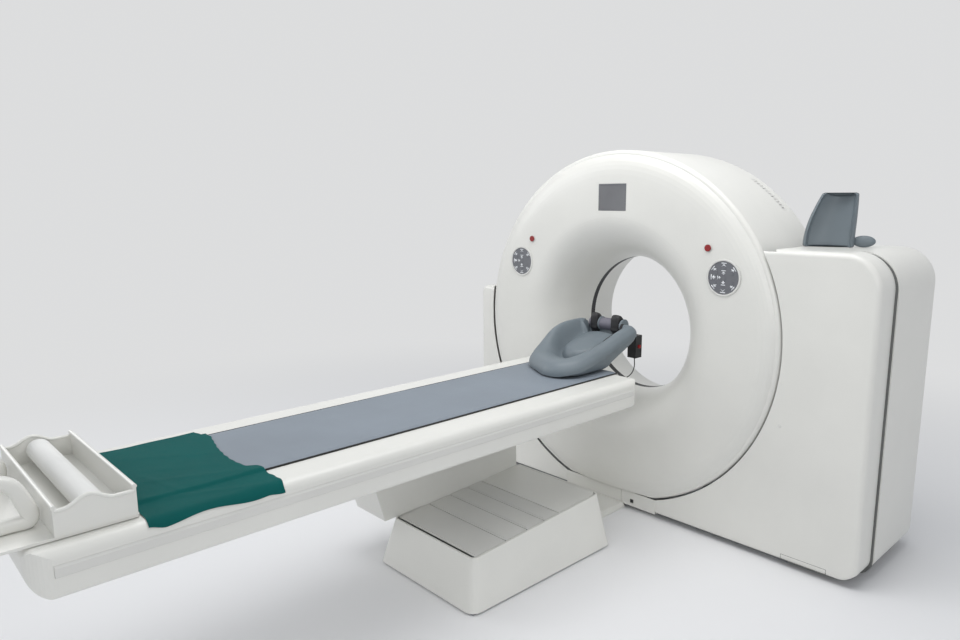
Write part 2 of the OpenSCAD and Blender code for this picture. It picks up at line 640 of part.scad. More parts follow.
// Inner tube with the saddle that carries the table beam
module lift_inner_tube() color(steel) {
    stage(inner_in, 285, saddle_bot, tube_wall);
    block([tube_x0 + inner_in, tube_y0, saddle_bot], [top_x, tube_y0 + tube_l, saddle_top]);
}
module lift_motor() color([0.35, 0.36, 0.38]) {
    block([-60, -1250, base_t + gap], [60, -1040, 90]);
    translate([0, motor_y, 90]) cylinder(r = 48, h = 70);
    disc_x(motor_y, shaft_z, shaft_r, tube_x0 + tube_w + gap, -60);
}

// Table beam: a moulded trough with side pockets, closed at the foot and open at the head
function beam_line() = concat(
    arc(-beam_x + 14, beam_bot + 14, 14, 180, 270, 4), arc(beam_x - 14, beam_bot + 14, 14, 270, 360, 4),
    arc(beam_x - shoulder_r, beam_top - shoulder_r, shoulder_r, 0, 90, 10),
    arc(-beam_x + shoulder_r, beam_top - shoulder_r, shoulder_r, 90, 180, 10));
module beam_pocket(s) scale([s, 1, 1]) along_y(foot_y + 80, head_y - 80)
    polygon(concat([[slot_x + beam_wall, beam_bot + 60], [beam_x - beam_wall, beam_bot + 60]],
        arc(beam_x - shoulder_r, beam_top - shoulder_r, shoulder_r - beam_wall, 0, 90, 8),
        [[slot_x + beam_wall, beam_top - beam_wall]]));
module table_beam() color(white) difference() {
    intersection() {
        along_y(foot_y, head_y) polygon(beam_line());
        along_x(-beam_x, beam_x) polygon(rounded(foot_y, beam_bot, head_y, beam_top, [70, 62, 14, 24], 10));
        translate([0, 0, beam_bot - 10]) linear_extrude(beam_d + 20)
            polygon(rounded(-beam_x, foot_y, beam_x, head_y, [62, 62, 34, 34], 10));
    }
    block([-slot_x, foot_y + foot_wall, slot_z], [slot_x, head_y + 10, beam_top + 10]);
    beam_pocket(1);
    beam_pocket(-1);
    block([-beam_x + 40, foot_y + 90, beam_bot + beam_wall], [beam_x - 40, head_y - 90, slot_z - beam_wall]);
    for (s = [-1, 1]) block([s > 0 ? beam_x - 3 : -beam_x - 3, foot_y + 55, beam_bot + strip_z],
        [s > 0 ? beam_x + 3 : 3 - beam_x, head_y - 30, beam_bot + strip_z + side_strip_h]);
}
module side_strips() color(white) for (s = [-1, 1]) scale([s, 1, 1])
    along_y(foot_y + 55 + gap, head_y - 30 - gap) translate([beam_x, beam_bot + strip_z]) polygon([
        [gap - 3, gap], [1.5, gap], [3, 3], [3, side_strip_h - 8], [-1, side_strip_h - gap],
        [gap - 3, side_strip_h - gap]]);
module table_chassis() color(steel) difference() {
    block([-200, foot_y + 160, beam_bot + beam_wall + gap], [200, head_y - 110, slot_z - beam_wall - gap]);
    for (i = [0:6]) block([-190, foot_y + 180 + i * 290, beam_bot], [190, foot_y + 440 + i * 290, slot_z]);
}
module guide_rails() color(steel) for (s = [-1, 1])
    block([s * rail_x - 10, foot_y + 40, slot_z + gap], [s * rail_x + 10, head_y - 20, slot_z + gap + rail_h]);

// Tabletop: a stiff board with raised edges' underside and its runners
module tabletop() color([0.86, 0.86, 0.84]) {
    along_y(top_y0, top_y1) polygon(concat([[-top_x, beam_top]], [[-top_x, beam_top - 12]],
        arc(-top_x + 34, top_bot + 34, 34, 190, 270, 6), arc(top_x - 34, top_bot + 34, 34, 270, 350, 6),
        [[top_x, beam_top - 12]], [[top_x, beam_top]]));
    for (s = [-1, 1]) for (y = [top_y0 + 40, top_y0 + 520])
        block([s * rail_x - 24, y, slot_z + rail_h + 2 * gap], [s * rail_x + 24, y + 120, top_bot]);
}
module mat() color([0.50, 0.54, 0.60]) along_y(foot_plate_y1 + 4, top_y1 - 4)
    polygon(rounded(-top_x + 2, beam_top + gap, top_x - 2, mat_z, [3, 3, 4, 4], 4));
module foot_plate() color(white) {
    translate([0, 0, beam_top + 2.5]) linear_extrude(foot_plate_z - beam_top - 2.5)
        polygon(rounded(-tray_x + 3, foot_y - 95, tray_x - 3, foot_plate_y1, [40, 40, 8, 8], 8));
    block([-top_x + 4, top_y0 + 4, beam_top + gap], [top_x - 4, foot_plate_y1, beam_top + 3]);
}
module grab_handles() color(white) for (s = [-1, 1]) scale([s, 1, 1]) along_x(178, 214) difference() {
    polygon(concat([[foot_y + 70, tray_z]], arc(foot_y - 24, tray_z + 82, 66, 12, 168, 14),
        arc(foot_y - 52, tray_z + 36, 36, 185, 270, 6)));
    polygon(rounded(foot_y - 54, tray_z + 34, foot_y + 8, tray_z + 112, [26, 16, 30, 30], 6));
}
// Roll tray: long walls along X, end walls that follow the roll
function hump(u) = tray_h - 8 + 22 * pow(sin(180 * min(max((u - 0.12) / 0.62, 0), 1)), 2);
module end_wall(x0, x1) along_x(x0, x1)
    polygon(concat([[tray_y0, tray_z], [tray_y0, tray_z + tray_h]],
        [for (i = [1:19]) [tray_y0 + tray_d * i / 20, tray_z + hump(i / 20)]],
        [[tray_y1, tray_z + tray_h + 4]], [[tray_y1, tray_z]]));
module roll_tray() color(white) difference() {
    tray_walls();
    disc_x(roll_y, roll_z, spindle_r + gap, 2 - tray_x, tray_x - 2);
}
module tray_walls() {
    difference() {
        block([-tray_x, tray_y0, tray_z], [tray_x, tray_y1, tray_z + tray_h]);
        block([-tray_x - 1, tray_y0 + tray_wall, tray_z + tray_wall],
            [tray_x + 1, tray_y1 - tray_wall, tray_z + 200]);
    }
    end_wall(-tray_x, -tray_x + tray_wall);
    end_wall(tray_x - tray_wall, tray_x);
}
module roll_spindle() color(steel) disc_x(roll_y, roll_z, spindle_r, 2.5 - tray_x, tray_x - 2.5);
module paper_roll() color("white") difference() {
    disc_x(roll_y, roll_z, roll_paper_r, -tray_x + tray_wall + 8, tray_x - tray_wall - 8);
    disc_x(roll_y, roll_z, spindle_r + gap, -tray_x, tray_x);
}
// Loose sheet laid over the mat and the beam's edges
function over_shoulder(d) = arc(beam_x - shoulder_r, beam_top - shoulder_r, shoulder_r + sheet_gap + d, 90, 20, 6);
module green_sheet() color([0.08, 0.37, 0.37]) along_y(foot_plate_y1 + 3, sheet_y1) polygon(concat(
    [[-beam_x + 42, beam_top + gap], [-top_x - 6, beam_top + gap], [-top_x + 2, mat_z + gap],
        [top_x - 2, mat_z + gap], [top_x + 6, beam_top + gap]],
    over_shoulder(0), reversed(over_shoulder(sheet_t)),
    [[top_x + 7, beam_top + gap + sheet_t], [top_x - 1, mat_z + gap + sheet_t], [-top_x + 1, mat_z + gap + sheet_t],
        [-top_x - 7, beam_top + gap + sheet_t], [-beam_x + 42, beam_top + gap + sheet_t]]));

// Arm and head support at the head end of the tabletop
module support_carrier() color(dark) {
    along_x(-85, 85) polygon([[-720, support_z], [-528, support_z], [-322, 866],
        [-250, 880], [-250, grip_z - 42], [-262, grip_z - 42], [-262, 888], [-326, 874], [-530, carrier_z],
        [-720, carrier_z]]);
    for (x = [-72, 62]) block([x - 13, -335, grip_z - 50], [x + 13, -250, grip_z - 34 - gap]);
}
// Black bracket at the side of the support, with the release button
module end_bracket() color(dark) difference() {
    block([85 + gap, -262, 792], [135, -212, 905]);
    disc_x(-237, 850, 9 + gap, 118, 136);
}
module arm_support() color(grey) difference() {
    hull() {
        translate([62, -705, carrier_z + gap]) cylinder(r = 122, h = 50, $fn = 40);
        translate([-72, -650, carrier_z + gap]) cylinder(r = 108, h = 50, $fn = 40);
        for (s = [-1, 1]) {
            translate([s * 156, -345, 940]) sphere(r = 36, $fn = 20);
            translate([s * 150, -480, carrier_z + 60]) sphere(r = 40, $fn = 20);
        }
        translate([152, -480, 903]) sphere(r = 36, $fn = 20);
        translate([-144, -480, 932]) sphere(r = 36, $fn = 20);
    }
    hull() {
        translate([0, -640, 965]) sphere(r = 118, $fn = 28);
        translate([0, -330, 1010]) sphere(r = 118, $fn = 28);
    }
    translate([-86, -560, 780]) cube([172, 400, 40]);
    block([-114, -346, grip_z - 54], [90, -200, 1100]);
    along_x(-86, 86) polygon([[-760, 700], [-200, 700], [-200, 884], [-262, 889], [-326, 875],
        [-530, carrier_z + gap], [-760, carrier_z + gap]]);
}
module grip_bar() color([0.45, 0.45, 0.48]) {
    disc_x(grip_y, grip_z, 30, -110, 84);
    for (x = [-72, 62]) disc_x(grip_y, grip_z, 34, x - 13, x + 13);
}
module release_button() color("firebrick") disc_x(-237, 850, 9, 122, 142);
// Lead from the end bracket down to the corner of the tabletop
module sweep(pts, r, n) {
    m = len(pts);
    rings = [for (i = [0:m - 1]) let (a = pts[max(i - 1, 0)], b = pts[min(i + 1, m - 1)], t = (b - a) / norm(b - a),
        u = cross(t, [1, 0, 0]) / norm(cross(t, [1, 0, 0])), v = cross(t, u))
        [for (k = [0:n - 1]) pts[i] + r * (cos(360 * k / n) * u + sin(360 * k / n) * v)]];
    polyhedron(points = [for (g = rings) each g], faces = concat(
        [[for (k = [0:n - 1]) n - 1 - k]], [[for (k = [0:n - 1]) (m - 1) * n + k]],
        [for (i = [0:m - 2]) for (k = [0:n - 1])
            [i * n + k, i * n + (k + 1) % n, (i + 1) * n + (k + 1) % n, (i + 1) * n + k]]));
}
module support_lead() color(dark) sweep(lead_pts, lead_r, 8);

gantry_base_frame();
trunnion_bearings();
left_side_cover();
right_front_cover();
right_rear_cover();
reveal_strip();
kick_panel_left();
kick_panel_right();
kick_latch();
floor_duct();
parked_cradle();
tilt_frame();
main_bearing();
front_cover();
drum_cover();
rear_cover();
scan_window();
outlet_grille();
display();
control_panel_left();
control_panel_right();
stop_bezels();
stop_button_left();
stop_button_right();
rotor_plate();
tube_housing();
collimator();
detector_arc();
generator();
heat_exchanger();
balance_weights();
pedestal_base();
pedestal_tub();
slat_1();
slat_2();
slat_3();
slat_4();
lift_housing();
lift_outer_tube();
lift_motor();
lift_middle_tube();
lift_inner_tube();
table_beam();
table_chassis();
guide_rails();
side_strips();
tabletop();
mat();
foot_plate();
grab_handles();
roll_tray();
roll_spindle();
paper_roll();
green_sheet();
support_carrier();
end_bracket();
arm_support();
grip_bar();
release_button();
support_lead();
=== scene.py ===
"""The looks of a CT scanner: gantry with its round drum, patient table, head support, cloth and lead."""

import json
import math

import bmesh
import bpy
from mathutils import Matrix, Vector, noise


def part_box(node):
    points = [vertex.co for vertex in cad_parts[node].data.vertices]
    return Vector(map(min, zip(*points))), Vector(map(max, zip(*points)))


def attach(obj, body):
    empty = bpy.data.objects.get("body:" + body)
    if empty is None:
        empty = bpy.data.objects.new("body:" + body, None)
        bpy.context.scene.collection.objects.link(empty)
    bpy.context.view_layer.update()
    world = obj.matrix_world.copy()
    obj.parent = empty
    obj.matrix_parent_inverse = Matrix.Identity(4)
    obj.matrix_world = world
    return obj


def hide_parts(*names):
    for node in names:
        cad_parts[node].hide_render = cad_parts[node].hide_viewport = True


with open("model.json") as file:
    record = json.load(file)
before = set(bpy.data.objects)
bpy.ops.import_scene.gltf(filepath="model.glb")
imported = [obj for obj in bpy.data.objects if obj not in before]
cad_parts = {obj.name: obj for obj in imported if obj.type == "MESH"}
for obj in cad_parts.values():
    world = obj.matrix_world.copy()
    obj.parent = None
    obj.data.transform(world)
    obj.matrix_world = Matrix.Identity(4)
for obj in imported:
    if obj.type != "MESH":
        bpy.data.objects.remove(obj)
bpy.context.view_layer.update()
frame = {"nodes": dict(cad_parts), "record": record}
nodes = frame["nodes"]
scene = bpy.context.scene

# Camera fitted to the photograph: place in metres, angles in radians, shift in sensor widths
PHOTO_WIDTH, FOCAL_PX, SENSOR = 960, 721.9, 36.0
CAMERA_AT = (2.2032, -3.1711, 1.5822)
YAW, PITCH, ROLL = 0.8060, -0.1777, -0.0028
CAMERA_SHIFT = (-0.02217, 0.00747)

# Studio: the floor turns into the background's colour between two distances from a point
BACKGROUND = (0.72, 0.725, 0.73, 1)
FLOOR_COLOUR, FLOOR_ROUGH, FLOOR_REACH = (0.84, 0.84, 0.85, 1), 0.75, 60
FADE_CENTRE, FADE_FROM, FADE_TO = (0.2, -0.9, 0), 1.2, 5.2
SOFT_LIGHT, SOFT_STRENGTH = (0.93, 0.96, 1.0, 1), 0.52
# Name, place, point it faces, size and watts of each lamp
LAMPS = [("ceiling_panel", (0.3, -1.2, 3.6), (0, -0.8, 0.6), (3.2, 1.6), 58),
         ("window_left", (-4.2, -3.2, 2.6), (0, -0.6, 0.8), (2.5, 2.0), 40),
         ("fill_right", (4.4, -4.6, 2.4), (0.4, -0.4, 0.8), (3.0, 2.0), 46)]

# Sizes that scene.py shares with the solids, in metres
ISO = 0.930  # height of the scan axis
FRONT_Y, REAR_Y = -0.275, 0.365  # faces of the side covers
CUT_R, ROOM_R = 0.884, 0.932  # the covers' opening round the drum, and the room behind it
SKIN = 0.005  # thickness of the covers
FLOOR_GAP, INNER_GAP = 0.020, 0.010  # heights of the covers' outer and inner faces above the floor
SIDE_SPLIT = 0.289  # where the covers begin on both sides of the middle
RIGHT_X, RIGHT_TOP, LEFT_X, LEFT_TOP = 1.265, 1.367, 0.985, 1.070
SLAB_X, STRIP_Y0, STRIP_Y1 = 1.253, -0.132, -0.122  # right front cover and the reveal strip behind it
PANEL_X, PANEL_Z = 0.6149, 1.2352  # centres of the control panels
BEAM_X, BEAM_TOP, TOP_X, MAT_TOP = 0.348, 0.775, 0.222, 0.7833
FOOT_Y = -2.900
GRIP_Y, GRIP_Z = -0.305, 0.955
TRAY_Z, TRAY_H, TRAY_WALL = 0.7853, 0.074, 0.006


# ---------- camera, floor and light ----------
def make_camera():
    cam = bpy.data.objects.new("camera", bpy.data.cameras.new("camera"))
    scene.collection.objects.link(cam)
    cam.data.sensor_width = SENSOR
    cam.data.lens = SENSOR * FOCAL_PX / PHOTO_WIDTH
    cam.data.shift_x, cam.data.shift_y = CAMERA_SHIFT
    level = math.cos(PITCH)
    forward = Vector((-math.sin(YAW) * level, math.cos(YAW) * level, math.sin(PITCH)))
    turn = forward.to_track_quat("-Z", "Y").to_matrix() @ Matrix.Rotation(ROLL, 3, "Z")
    cam.matrix_world = Matrix.Translation(CAMERA_AT) @ turn.to_4x4()
    cam.data.clip_end = 100
    scene.camera = cam


def area_light(name, place, target, size, power):
    lamp = bpy.data.objects.new(name, bpy.data.lights.new(name, "AREA"))
    scene.collection.objects.link(lamp)
    lamp.data.shape = "RECTANGLE"
    lamp.data.size, lamp.data.size_y = size
    lamp.data.energy = power
    lamp.location = place
    lamp.rotation_euler = (Vector(target) - Vector(place)).to_track_quat("-Z", "Y").to_euler()


def new_node(tree, kind, values=None, **settings):
    """A shader node with its input values by name or number, and settings such as its operation."""
    node = tree.nodes.new("ShaderNode" + kind)
    for key, value in settings.items():
        setattr(node, key, value)
    for key, value in (values or {}).items():
        node.inputs[key].default_value = value
    return node


def seen_in_picture(tree):
    """Output that is 1 for rays from the camera and for mirrored ones, and 0 for the light itself."""
    path = new_node(tree, "LightPath")
    either = new_node(tree, "Math", operation="MAXIMUM")
    tree.links.new(path.outputs["Is Camera Ray"], either.inputs[0])
    tree.links.new(path.outputs["Is Glossy Ray"], either.inputs[1])
    return either.outputs[0]


def fade_floor(tree):
    """The floor keeps its shadows near the scanner and turns into the background's colour further away."""
    link = tree.links.new
    coords = new_node(tree, "TexCoord")
    away = new_node(tree, "VectorMath", {1: FADE_CENTRE}, operation="DISTANCE")
    fade = new_node(tree, "MapRange", {"From Min": FADE_FROM, "From Max": FADE_TO},
                    interpolation_type="SMOOTHSTEP")
    both = new_node(tree, "Math", operation="MULTIPLY")
    pale = new_node(tree, "Emission", {"Color": BACKGROUND})
    mix = new_node(tree, "MixShader")
    link(coords.outputs["Object"], away.inputs[0])
    link(away.outputs["Value"], fade.inputs["Value"])
    link(fade.outputs["Result"], both.inputs[0])
    link(seen_in_picture(tree), both.inputs[1])
    link(both.outputs[0], mix.inputs[0])
    link(tree.nodes["Principled BSDF"].outputs[0], mix.inputs[1])
    link(pale.outputs[0], mix.inputs[2])
    link(mix.outputs[0], tree.nodes["Material Output"].inputs["Surface"])


def bare_object(name, verts, faces):
    mesh = bpy.data.meshes.new(name)
    mesh.from_pydata([tuple(v) for v in verts], [], [tuple(f) for f in faces])
    obj = bpy.data.objects.new(name, mesh)
    scene.collection.objects.link(obj)
    return obj


def make_floor():
    r = FLOOR_REACH
    floor = bare_object("floor", [(-r, -r, 0), (r, -r, 0), (r, r, 0), (-r, r, 0)], [(0, 1, 2, 3)])
    mat = bpy.data.materials.new("floor_paper")
    mat.use_nodes = True
    shader = mat.node_tree.nodes["Principled BSDF"]
    shader.inputs["Base Color"].default_value = FLOOR_COLOUR
    shader.inputs["Roughness"].default_value = FLOOR_ROUGH
    fade_floor(mat.node_tree)
    floor.data.materials.append(mat)


def make_light():
    """Soft even light, with the plain background where the camera sees past the object."""
    world = bpy.data.worlds.new("studio")
    scene.world = world
    world.use_nodes = True
    tree = world.node_tree
    link = tree.links.new
    tree.nodes.clear()
    out = new_node(tree, "OutputWorld")
    mix = new_node(tree, "MixShader")
    soft = new_node(tree, "Background", {"Color": SOFT_LIGHT, "Strength": SOFT_STRENGTH})
    seen = new_node(tree, "Background", {"Color": BACKGROUND, "Strength": 1.0})
    link(seen_in_picture(tree), mix.inputs[0])
    link(soft.outputs[0], mix.inputs[1])
    link(seen.outputs[0], mix.inputs[2])
    link(mix.outputs[0], out.inputs["Surface"])
    for lamp in LAMPS:
        area_light(*lamp)
    scene.view_settings.view_transform = "Standard"


# ---------- materials ----------
BROAD_SCALE = 3.2  # of the pattern behind colour and roughness
ROUGH_VARY = 0.05
RELIEF = 0.0006  # depth of the fine relief, metres


def material(name, colour, rough, bump=0.0, scale=400.0, mottle=0.03, metal=0.0, detail=2.0, coat=0.0,
             sheen=0.0):
    """A finish with colour variation, roughness variation and fine relief, all from object coordinates."""
    mat = bpy.data.materials.new(name)
    mat.use_nodes = True
    tree = mat.node_tree
    link = tree.links.new
    shader = tree.nodes["Principled BSDF"]
    coords = new_node(tree, "TexCoord")
    fine = new_node(tree, "TexNoise", {"Scale": scale, "Detail": detail})
    broad = new_node(tree, "TexNoise", {"Scale": BROAD_SCALE, "Detail": 5.0, "Roughness": 0.55})
    for tex in (fine, broad):
        link(coords.outputs["Object"], tex.inputs["Vector"])
    ramp = new_node(tree, "ValToRGB")
    darker = [max(0.0, c * (1 - 2 * mottle)) for c in colour]
    lighter = [min(1.0, c * (1 + mottle)) for c in colour]
    for stop, place, tone in zip(ramp.color_ramp.elements, (0.3, 0.7), (darker, lighter)):
        stop.position = place
        stop.color = (*tone, 1)
    link(broad.outputs["Fac"], ramp.inputs["Fac"])
    link(ramp.outputs["Color"], shader.inputs["Base Color"])
    low, high = max(0.02, rough - ROUGH_VARY), min(1.0, rough + ROUGH_VARY)
    span = new_node(tree, "MapRange", {"To Min": low, "To Max": high})
    link(broad.outputs["Fac"], span.inputs["Value"])
    link(span.outputs["Result"], shader.inputs["Roughness"])
    if bump:
        relief = new_node(tree, "Bump", {"Strength": bump, "Distance": RELIEF})
        link(fine.outputs["Fac"], relief.inputs["Height"])
        link(relief.outputs["Normal"], shader.inputs["Normal"])
    shader.inputs["Metallic"].default_value = metal
    shader.inputs["Coat Weight"].default_value = coat
    shader.inputs["Sheen Weight"].default_value = sheen
    return mat


def woven(name, colour, pitch, depth, sheen):
    """Plain weave from two crossed wave textures."""
    mat = material(name, colour, 0.85, mottle=0.06, sheen=sheen)
    tree = mat.node_tree
    shader = tree.nodes["Principled BSDF"]
    coords = next(n for n in tree.nodes if n.bl_idname == "ShaderNodeTexCoord")
    both = new_node(tree, "Math", operation="ADD")
    for i, axis in enumerate("XY"):
        wave = new_node(tree, "TexWave", {"Scale": pitch, "Distortion": 0.6, "Detail": 1.0},
                        bands_direction=axis)
        tree.links.new(coords.outputs["Object"], wave.inputs["Vector"])
        tree.links.new(wave.outputs["Fac"], both.inputs[i])
    relief = new_node(tree, "Bump", {"Strength": depth, "Distance": 0.0008})
    tree.links.new(both.outputs[0], relief.inputs["Height"])
    tree.links.new(relief.outputs["Normal"], shader.inputs["Normal"])
    shader.inputs["Specular IOR Level"].default_value = 0.15
    return mat


# Colour, roughness and whatever else sets each finish apart
FINISHES = {
    "cover_white": ((0.77, 0.765, 0.725), 0.33, dict(bump=0.12, scale=900, mottle=0.015, coat=0.08)),
    "light_plastic": ((0.70, 0.695, 0.665), 0.42, dict(bump=0.15, scale=800, mottle=0.02)),
    "dark_plastic": ((0.018, 0.018, 0.020), 0.5, dict(bump=0.3, scale=700, mottle=0.15)),
    "display_glass": ((0.165, 0.168, 0.178), 0.22, dict(mottle=0.08, coat=0.3)),
    "keypad_grey": ((0.155, 0.160, 0.175), 0.45, dict(bump=0.1, scale=900, mottle=0.04)),
    "red_plastic": ((0.27, 0.008, 0.010), 0.25, dict(mottle=0.05, coat=0.3)),
    "frame_steel": ((0.28, 0.29, 0.31), 0.5, dict(bump=0.25, scale=500, mottle=0.05, metal=0.2)),
    "bearing_steel": ((0.45, 0.45, 0.47), 0.28, dict(bump=0.1, scale=260, mottle=0.04, metal=1.0)),
    "rotor_aluminium": ((0.62, 0.63, 0.65), 0.35, dict(bump=0.1, scale=300, mottle=0.03, metal=1.0)),
    "housing_metal": ((0.40, 0.40, 0.38), 0.5, dict(bump=0.35, scale=450, mottle=0.05)),
    "tabletop_grey": ((0.55, 0.55, 0.53), 0.5, dict(bump=0.15, scale=600, mottle=0.03)),
    "mat_grey": ((0.215, 0.250, 0.292), 0.55, dict(bump=0.35, scale=650, mottle=0.05, sheen=0.05)),
    "grey_foam": ((0.172, 0.206, 0.230), 0.48, dict(bump=0.25, scale=700, mottle=0.06, coat=0.05)),
    "paper_white": ((0.80, 0.80, 0.78), 0.9, dict(bump=0.5, scale=300, mottle=0.03, detail=6.0)),
    "black_rubber": ((0.014, 0.014, 0.014), 0.6, dict(bump=0.2, scale=900, mottle=0.1)),
    "key_white": ((0.84, 0.86, 0.88), 0.4, dict(bump=0.1, scale=900, mottle=0.02)),
    "grip_mauve": ((0.17, 0.165, 0.20), 0.5, dict(bump=0.3, scale=700, mottle=0.05)),
    "webbing_black": ((0.016, 0.016, 0.018), 0.7, dict(bump=0.5, scale=900, mottle=0.15)),
    "seam_dark": ((0.22, 0.22, 0.21), 0.7, dict(mottle=0.05)),
    "strip_grey": ((0.13, 0.135, 0.13), 0.55, dict(bump=0.2, scale=700, mottle=0.06)),
}
MATS = {name: material(name, colour, rough, **rest) for name, (colour, rough, rest) in FINISHES.items()}
MATS["green_fabric"] = woven("green_fabric", (0.001, 0.104, 0.098), 420, 0.5, 0.04)
# CAD nodes whose look differs from their slot's other pieces
NODE_LOOK = {"reveal_strip": "strip_grey"}


def dress(obj, slot):
    obj.data.materials.clear()
    obj.data.materials.append(MATS[slot])


def smooth(obj, angle):
    """Smooth shading with sharp edges where faces meet at more than the angle."""
    obj.data.polygons.foreach_set("use_smooth", [True] * len(obj.data.polygons))
    bm = bmesh.new()
    bm.from_mesh(obj.data)
    limit = math.radians(angle)
    sharp = [e.calc_face_angle(0.0) > limit if len(e.link_faces) == 2 else True for e in bm.edges]
    bm.free()
    marks = obj.data.attributes
    attr = marks.get("sharp_edge") or marks.new("sharp_edge", "BOOLEAN", "EDGE")
    attr.data.foreach_set("value", sharp)


def fix_normals(obj):
    bm = bmesh.new()
    bm.from_mesh(obj.data)
    bmesh.ops.recalc_face_normals(bm, faces=bm.faces)
    bm.to_mesh(obj.data)
    bm.free()


def new_piece(name, verts, faces, body, slot, angle=35):
    """A visible piece that rides on a body, shaded sharp where faces meet at more than the angle."""
    obj = bare_object(name, verts, faces)
    obj.data.validate()
    fix_normals(obj)
    dress(obj, slot)
    smooth(obj, angle)
    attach(obj, body)
    return obj


def dress_nodes():
    slots = {s["node"]: s["material_slot"] for s in frame["record"]["subparts"]}
    for name, obj in nodes.items():
        obj.data.materials.clear()
        obj.data.materials.append(MATS[NODE_LOOK.get(name, slots[name])])
        smooth(obj, 32)


# ---------- rounded edges on the moulded solids ----------
SOFT_EDGES = {"table_beam": 0.004, "tabletop": 0.002, "foot_plate": 0.003, "roll_tray": 0.0022,
              "pedestal_tub": 0.004, "lift_housing": 0.005, "floor_duct": 0.002, "slat_1": 0.0015,
              "slat_2": 0.0015, "slat_3": 0.0015, "slat_4": 0.0015, "display": 0.0015, "side_strips": 0.001,
              "end_bracket": 0.014, "kick_latch": 0.001, "kick_panel_left": 0.0012,
              "kick_panel_right": 0.0012, "lift_inner_tube": 0.002}


def soften(name, width):
    """Rounds a CAD node's sharp edges with modifiers; its own mesh stays as packed."""
    obj = nodes[name]
    weld = obj.modifiers.new("weld", "WELD")
    weld.merge_threshold = 0.00002
    bevel = obj.modifiers.new("bevel", "BEVEL")
    bevel.width = width
    bevel.segments = 3
    bevel.limit_method = "ANGLE"
    bevel.angle_limit = math.radians(30)
    normals = obj.modifiers.new("normals", "WEIGHTED_NORMAL")
    normals.keep_sharp = True


# ---------- building blocks: rings, tubes and lofts ----------
def round_angles(n):
    return [2 * math.pi * k / n for k in range(n)]


def arc_points(cx, cz, r, a0, a1, n):
    """Points on an arc, angles in degrees."""
    turns = [math.radians(a0 + (a1 - a0) * i / n) for i in range(n + 1)]
    return [(cx + r * math.cos(a), cz + r * math.sin(a)) for a in turns]


def band_faces(rows, n, closed=False):
    """Faces between rings of n points each; closed joins the last ring to the first."""
    faces = []
    for i in range(rows if closed else rows - 1):
        j = (i + 1) % rows
        for k in range(n):
            m = (k + 1) % n
            faces.append((i * n + k, i * n + m, j * n + m, j * n + k))
    return faces


def loft(rings):
    """Vertices and faces of a closed body through rings of equal length, capped at both ends."""
    n = len(rings[0])
    verts = [v for ring in rings for v in ring]
    caps = [tuple(range(n))[::-1], tuple((len(rings) - 1) * n + k for k in range(n))]
    return verts, caps + band_faces(len(rings), n)


def tube(points, radius, sides):
    """Vertices and faces of a round tube along a path, for the lead and the tray's lips."""
    pts = [Vector(p) for p in points]
    rings = []
    up = Vector((0, 0, 1))
    for i, p in enumerate(pts):
        before, after = pts[max(i - 1, 0)], pts[min(i + 1, len(pts) - 1)]
        along = (after - before).normalized()
        side = along.cross(up)
        side = side.normalized() if side.length > 1e-4 else Vector((1, 0, 0))
        other = side.cross(along)
        rings.append([p + radius * (math.cos(a) * side + math.sin(a) * other) for a in round_angles(sides)])
    return loft(rings)


def joined(parts):
    verts, faces = [], []
    for v, f in parts:
        base = len(verts)
        verts += list(v)
        faces += [tuple(i + base for i in face) for face in f]
    return verts, faces


def smooth_path(points, per=6, closed=False):
    """Catmull-Rom points through the given ones, as a line or as a closed loop."""
    pts = [Vector(p) for p in points]
    n = len(pts)

    def at(i):
        return pts[i % n] if closed else pts[min(max(i, 0), n - 1)]

    out = []
    for i in range(n if closed else n - 1):
        p0, p1, p2, p3 = at(i - 1), at(i), at(i + 1), at(i + 2)
        for j in range(per):
            t = j / per
            out.append(0.5 * (2 * p1 + (p2 - p0) * t + (2 * p0 - 5 * p1 + 4 * p2 - p3) * t * t
                              + (3 * p1 - p0 - 3 * p2 + p3) * t ** 3))
    return out if closed else out + [pts[-1]]


def ease(t):
    t = max(0.0, min(1.0, t))
    return t * t * (3 - 2 * t)


# ---------- side covers with a smoothly rolled edge ----------
# Outer X, top, and the radii of the bottom and top corners of each cover
SLAB = (SLAB_X, RIGHT_TOP, 0.075, 0.150)
RIGHT = (RIGHT_X, RIGHT_TOP, 0.075, 0.150)
LEFT = (LEFT_X, LEFT_TOP, 0.045, 0.045)
FRONT_ROLL, RIGHT_REAR_ROLL, LEFT_REAR_ROLL = 0.024, 0.048, 0.040  # radii of the rolled edges
ROLL_STEPS = 8
OVERLAP = 0.001
CUT_START, CUT_END = -0.6, 0.8  # Y of the cutters' ends, clear of the covers


def cover_ring(size, inset, drawn_in, y, mirror):
    """A side cover's outline at one Y, set in for the inner face and drawn in where the edge rolls."""
    x1, top, low_r, top_r = size
    x0 = SIDE_SPLIT - inset
    bottom = INNER_GAP if inset > 0 else FLOOR_GAP
    less = inset + drawn_in
    outline = [(x0, top - less), (x0, bottom + drawn_in)]
    outline += arc_points(x1 - low_r, bottom + low_r - inset, low_r - less, -90, 0, 14)
    outline += arc_points(x1 - top_r, top - top_r, top_r - less, 0, 90, 26)
    sign = -1 if mirror else 1
    return [(sign * x, y, z) for x, z in outline]


def rolled(size, inset, y, edge, way, mirror):
    """Rings of a rolled edge that starts at a face; the way is 1 for the front face and -1 for the rear."""
    rings = []
    for k in range(ROLL_STEPS + 1):
        a = math.pi / 2 * k / ROLL_STEPS
        deep = inset + (edge - inset) * (1 - math.cos(a))
        rings.append(cover_ring(size, inset, (edge - inset) * (1 - math.sin(a)), y + way * deep, mirror))
    return rings if way > 0 else rings[::-1]


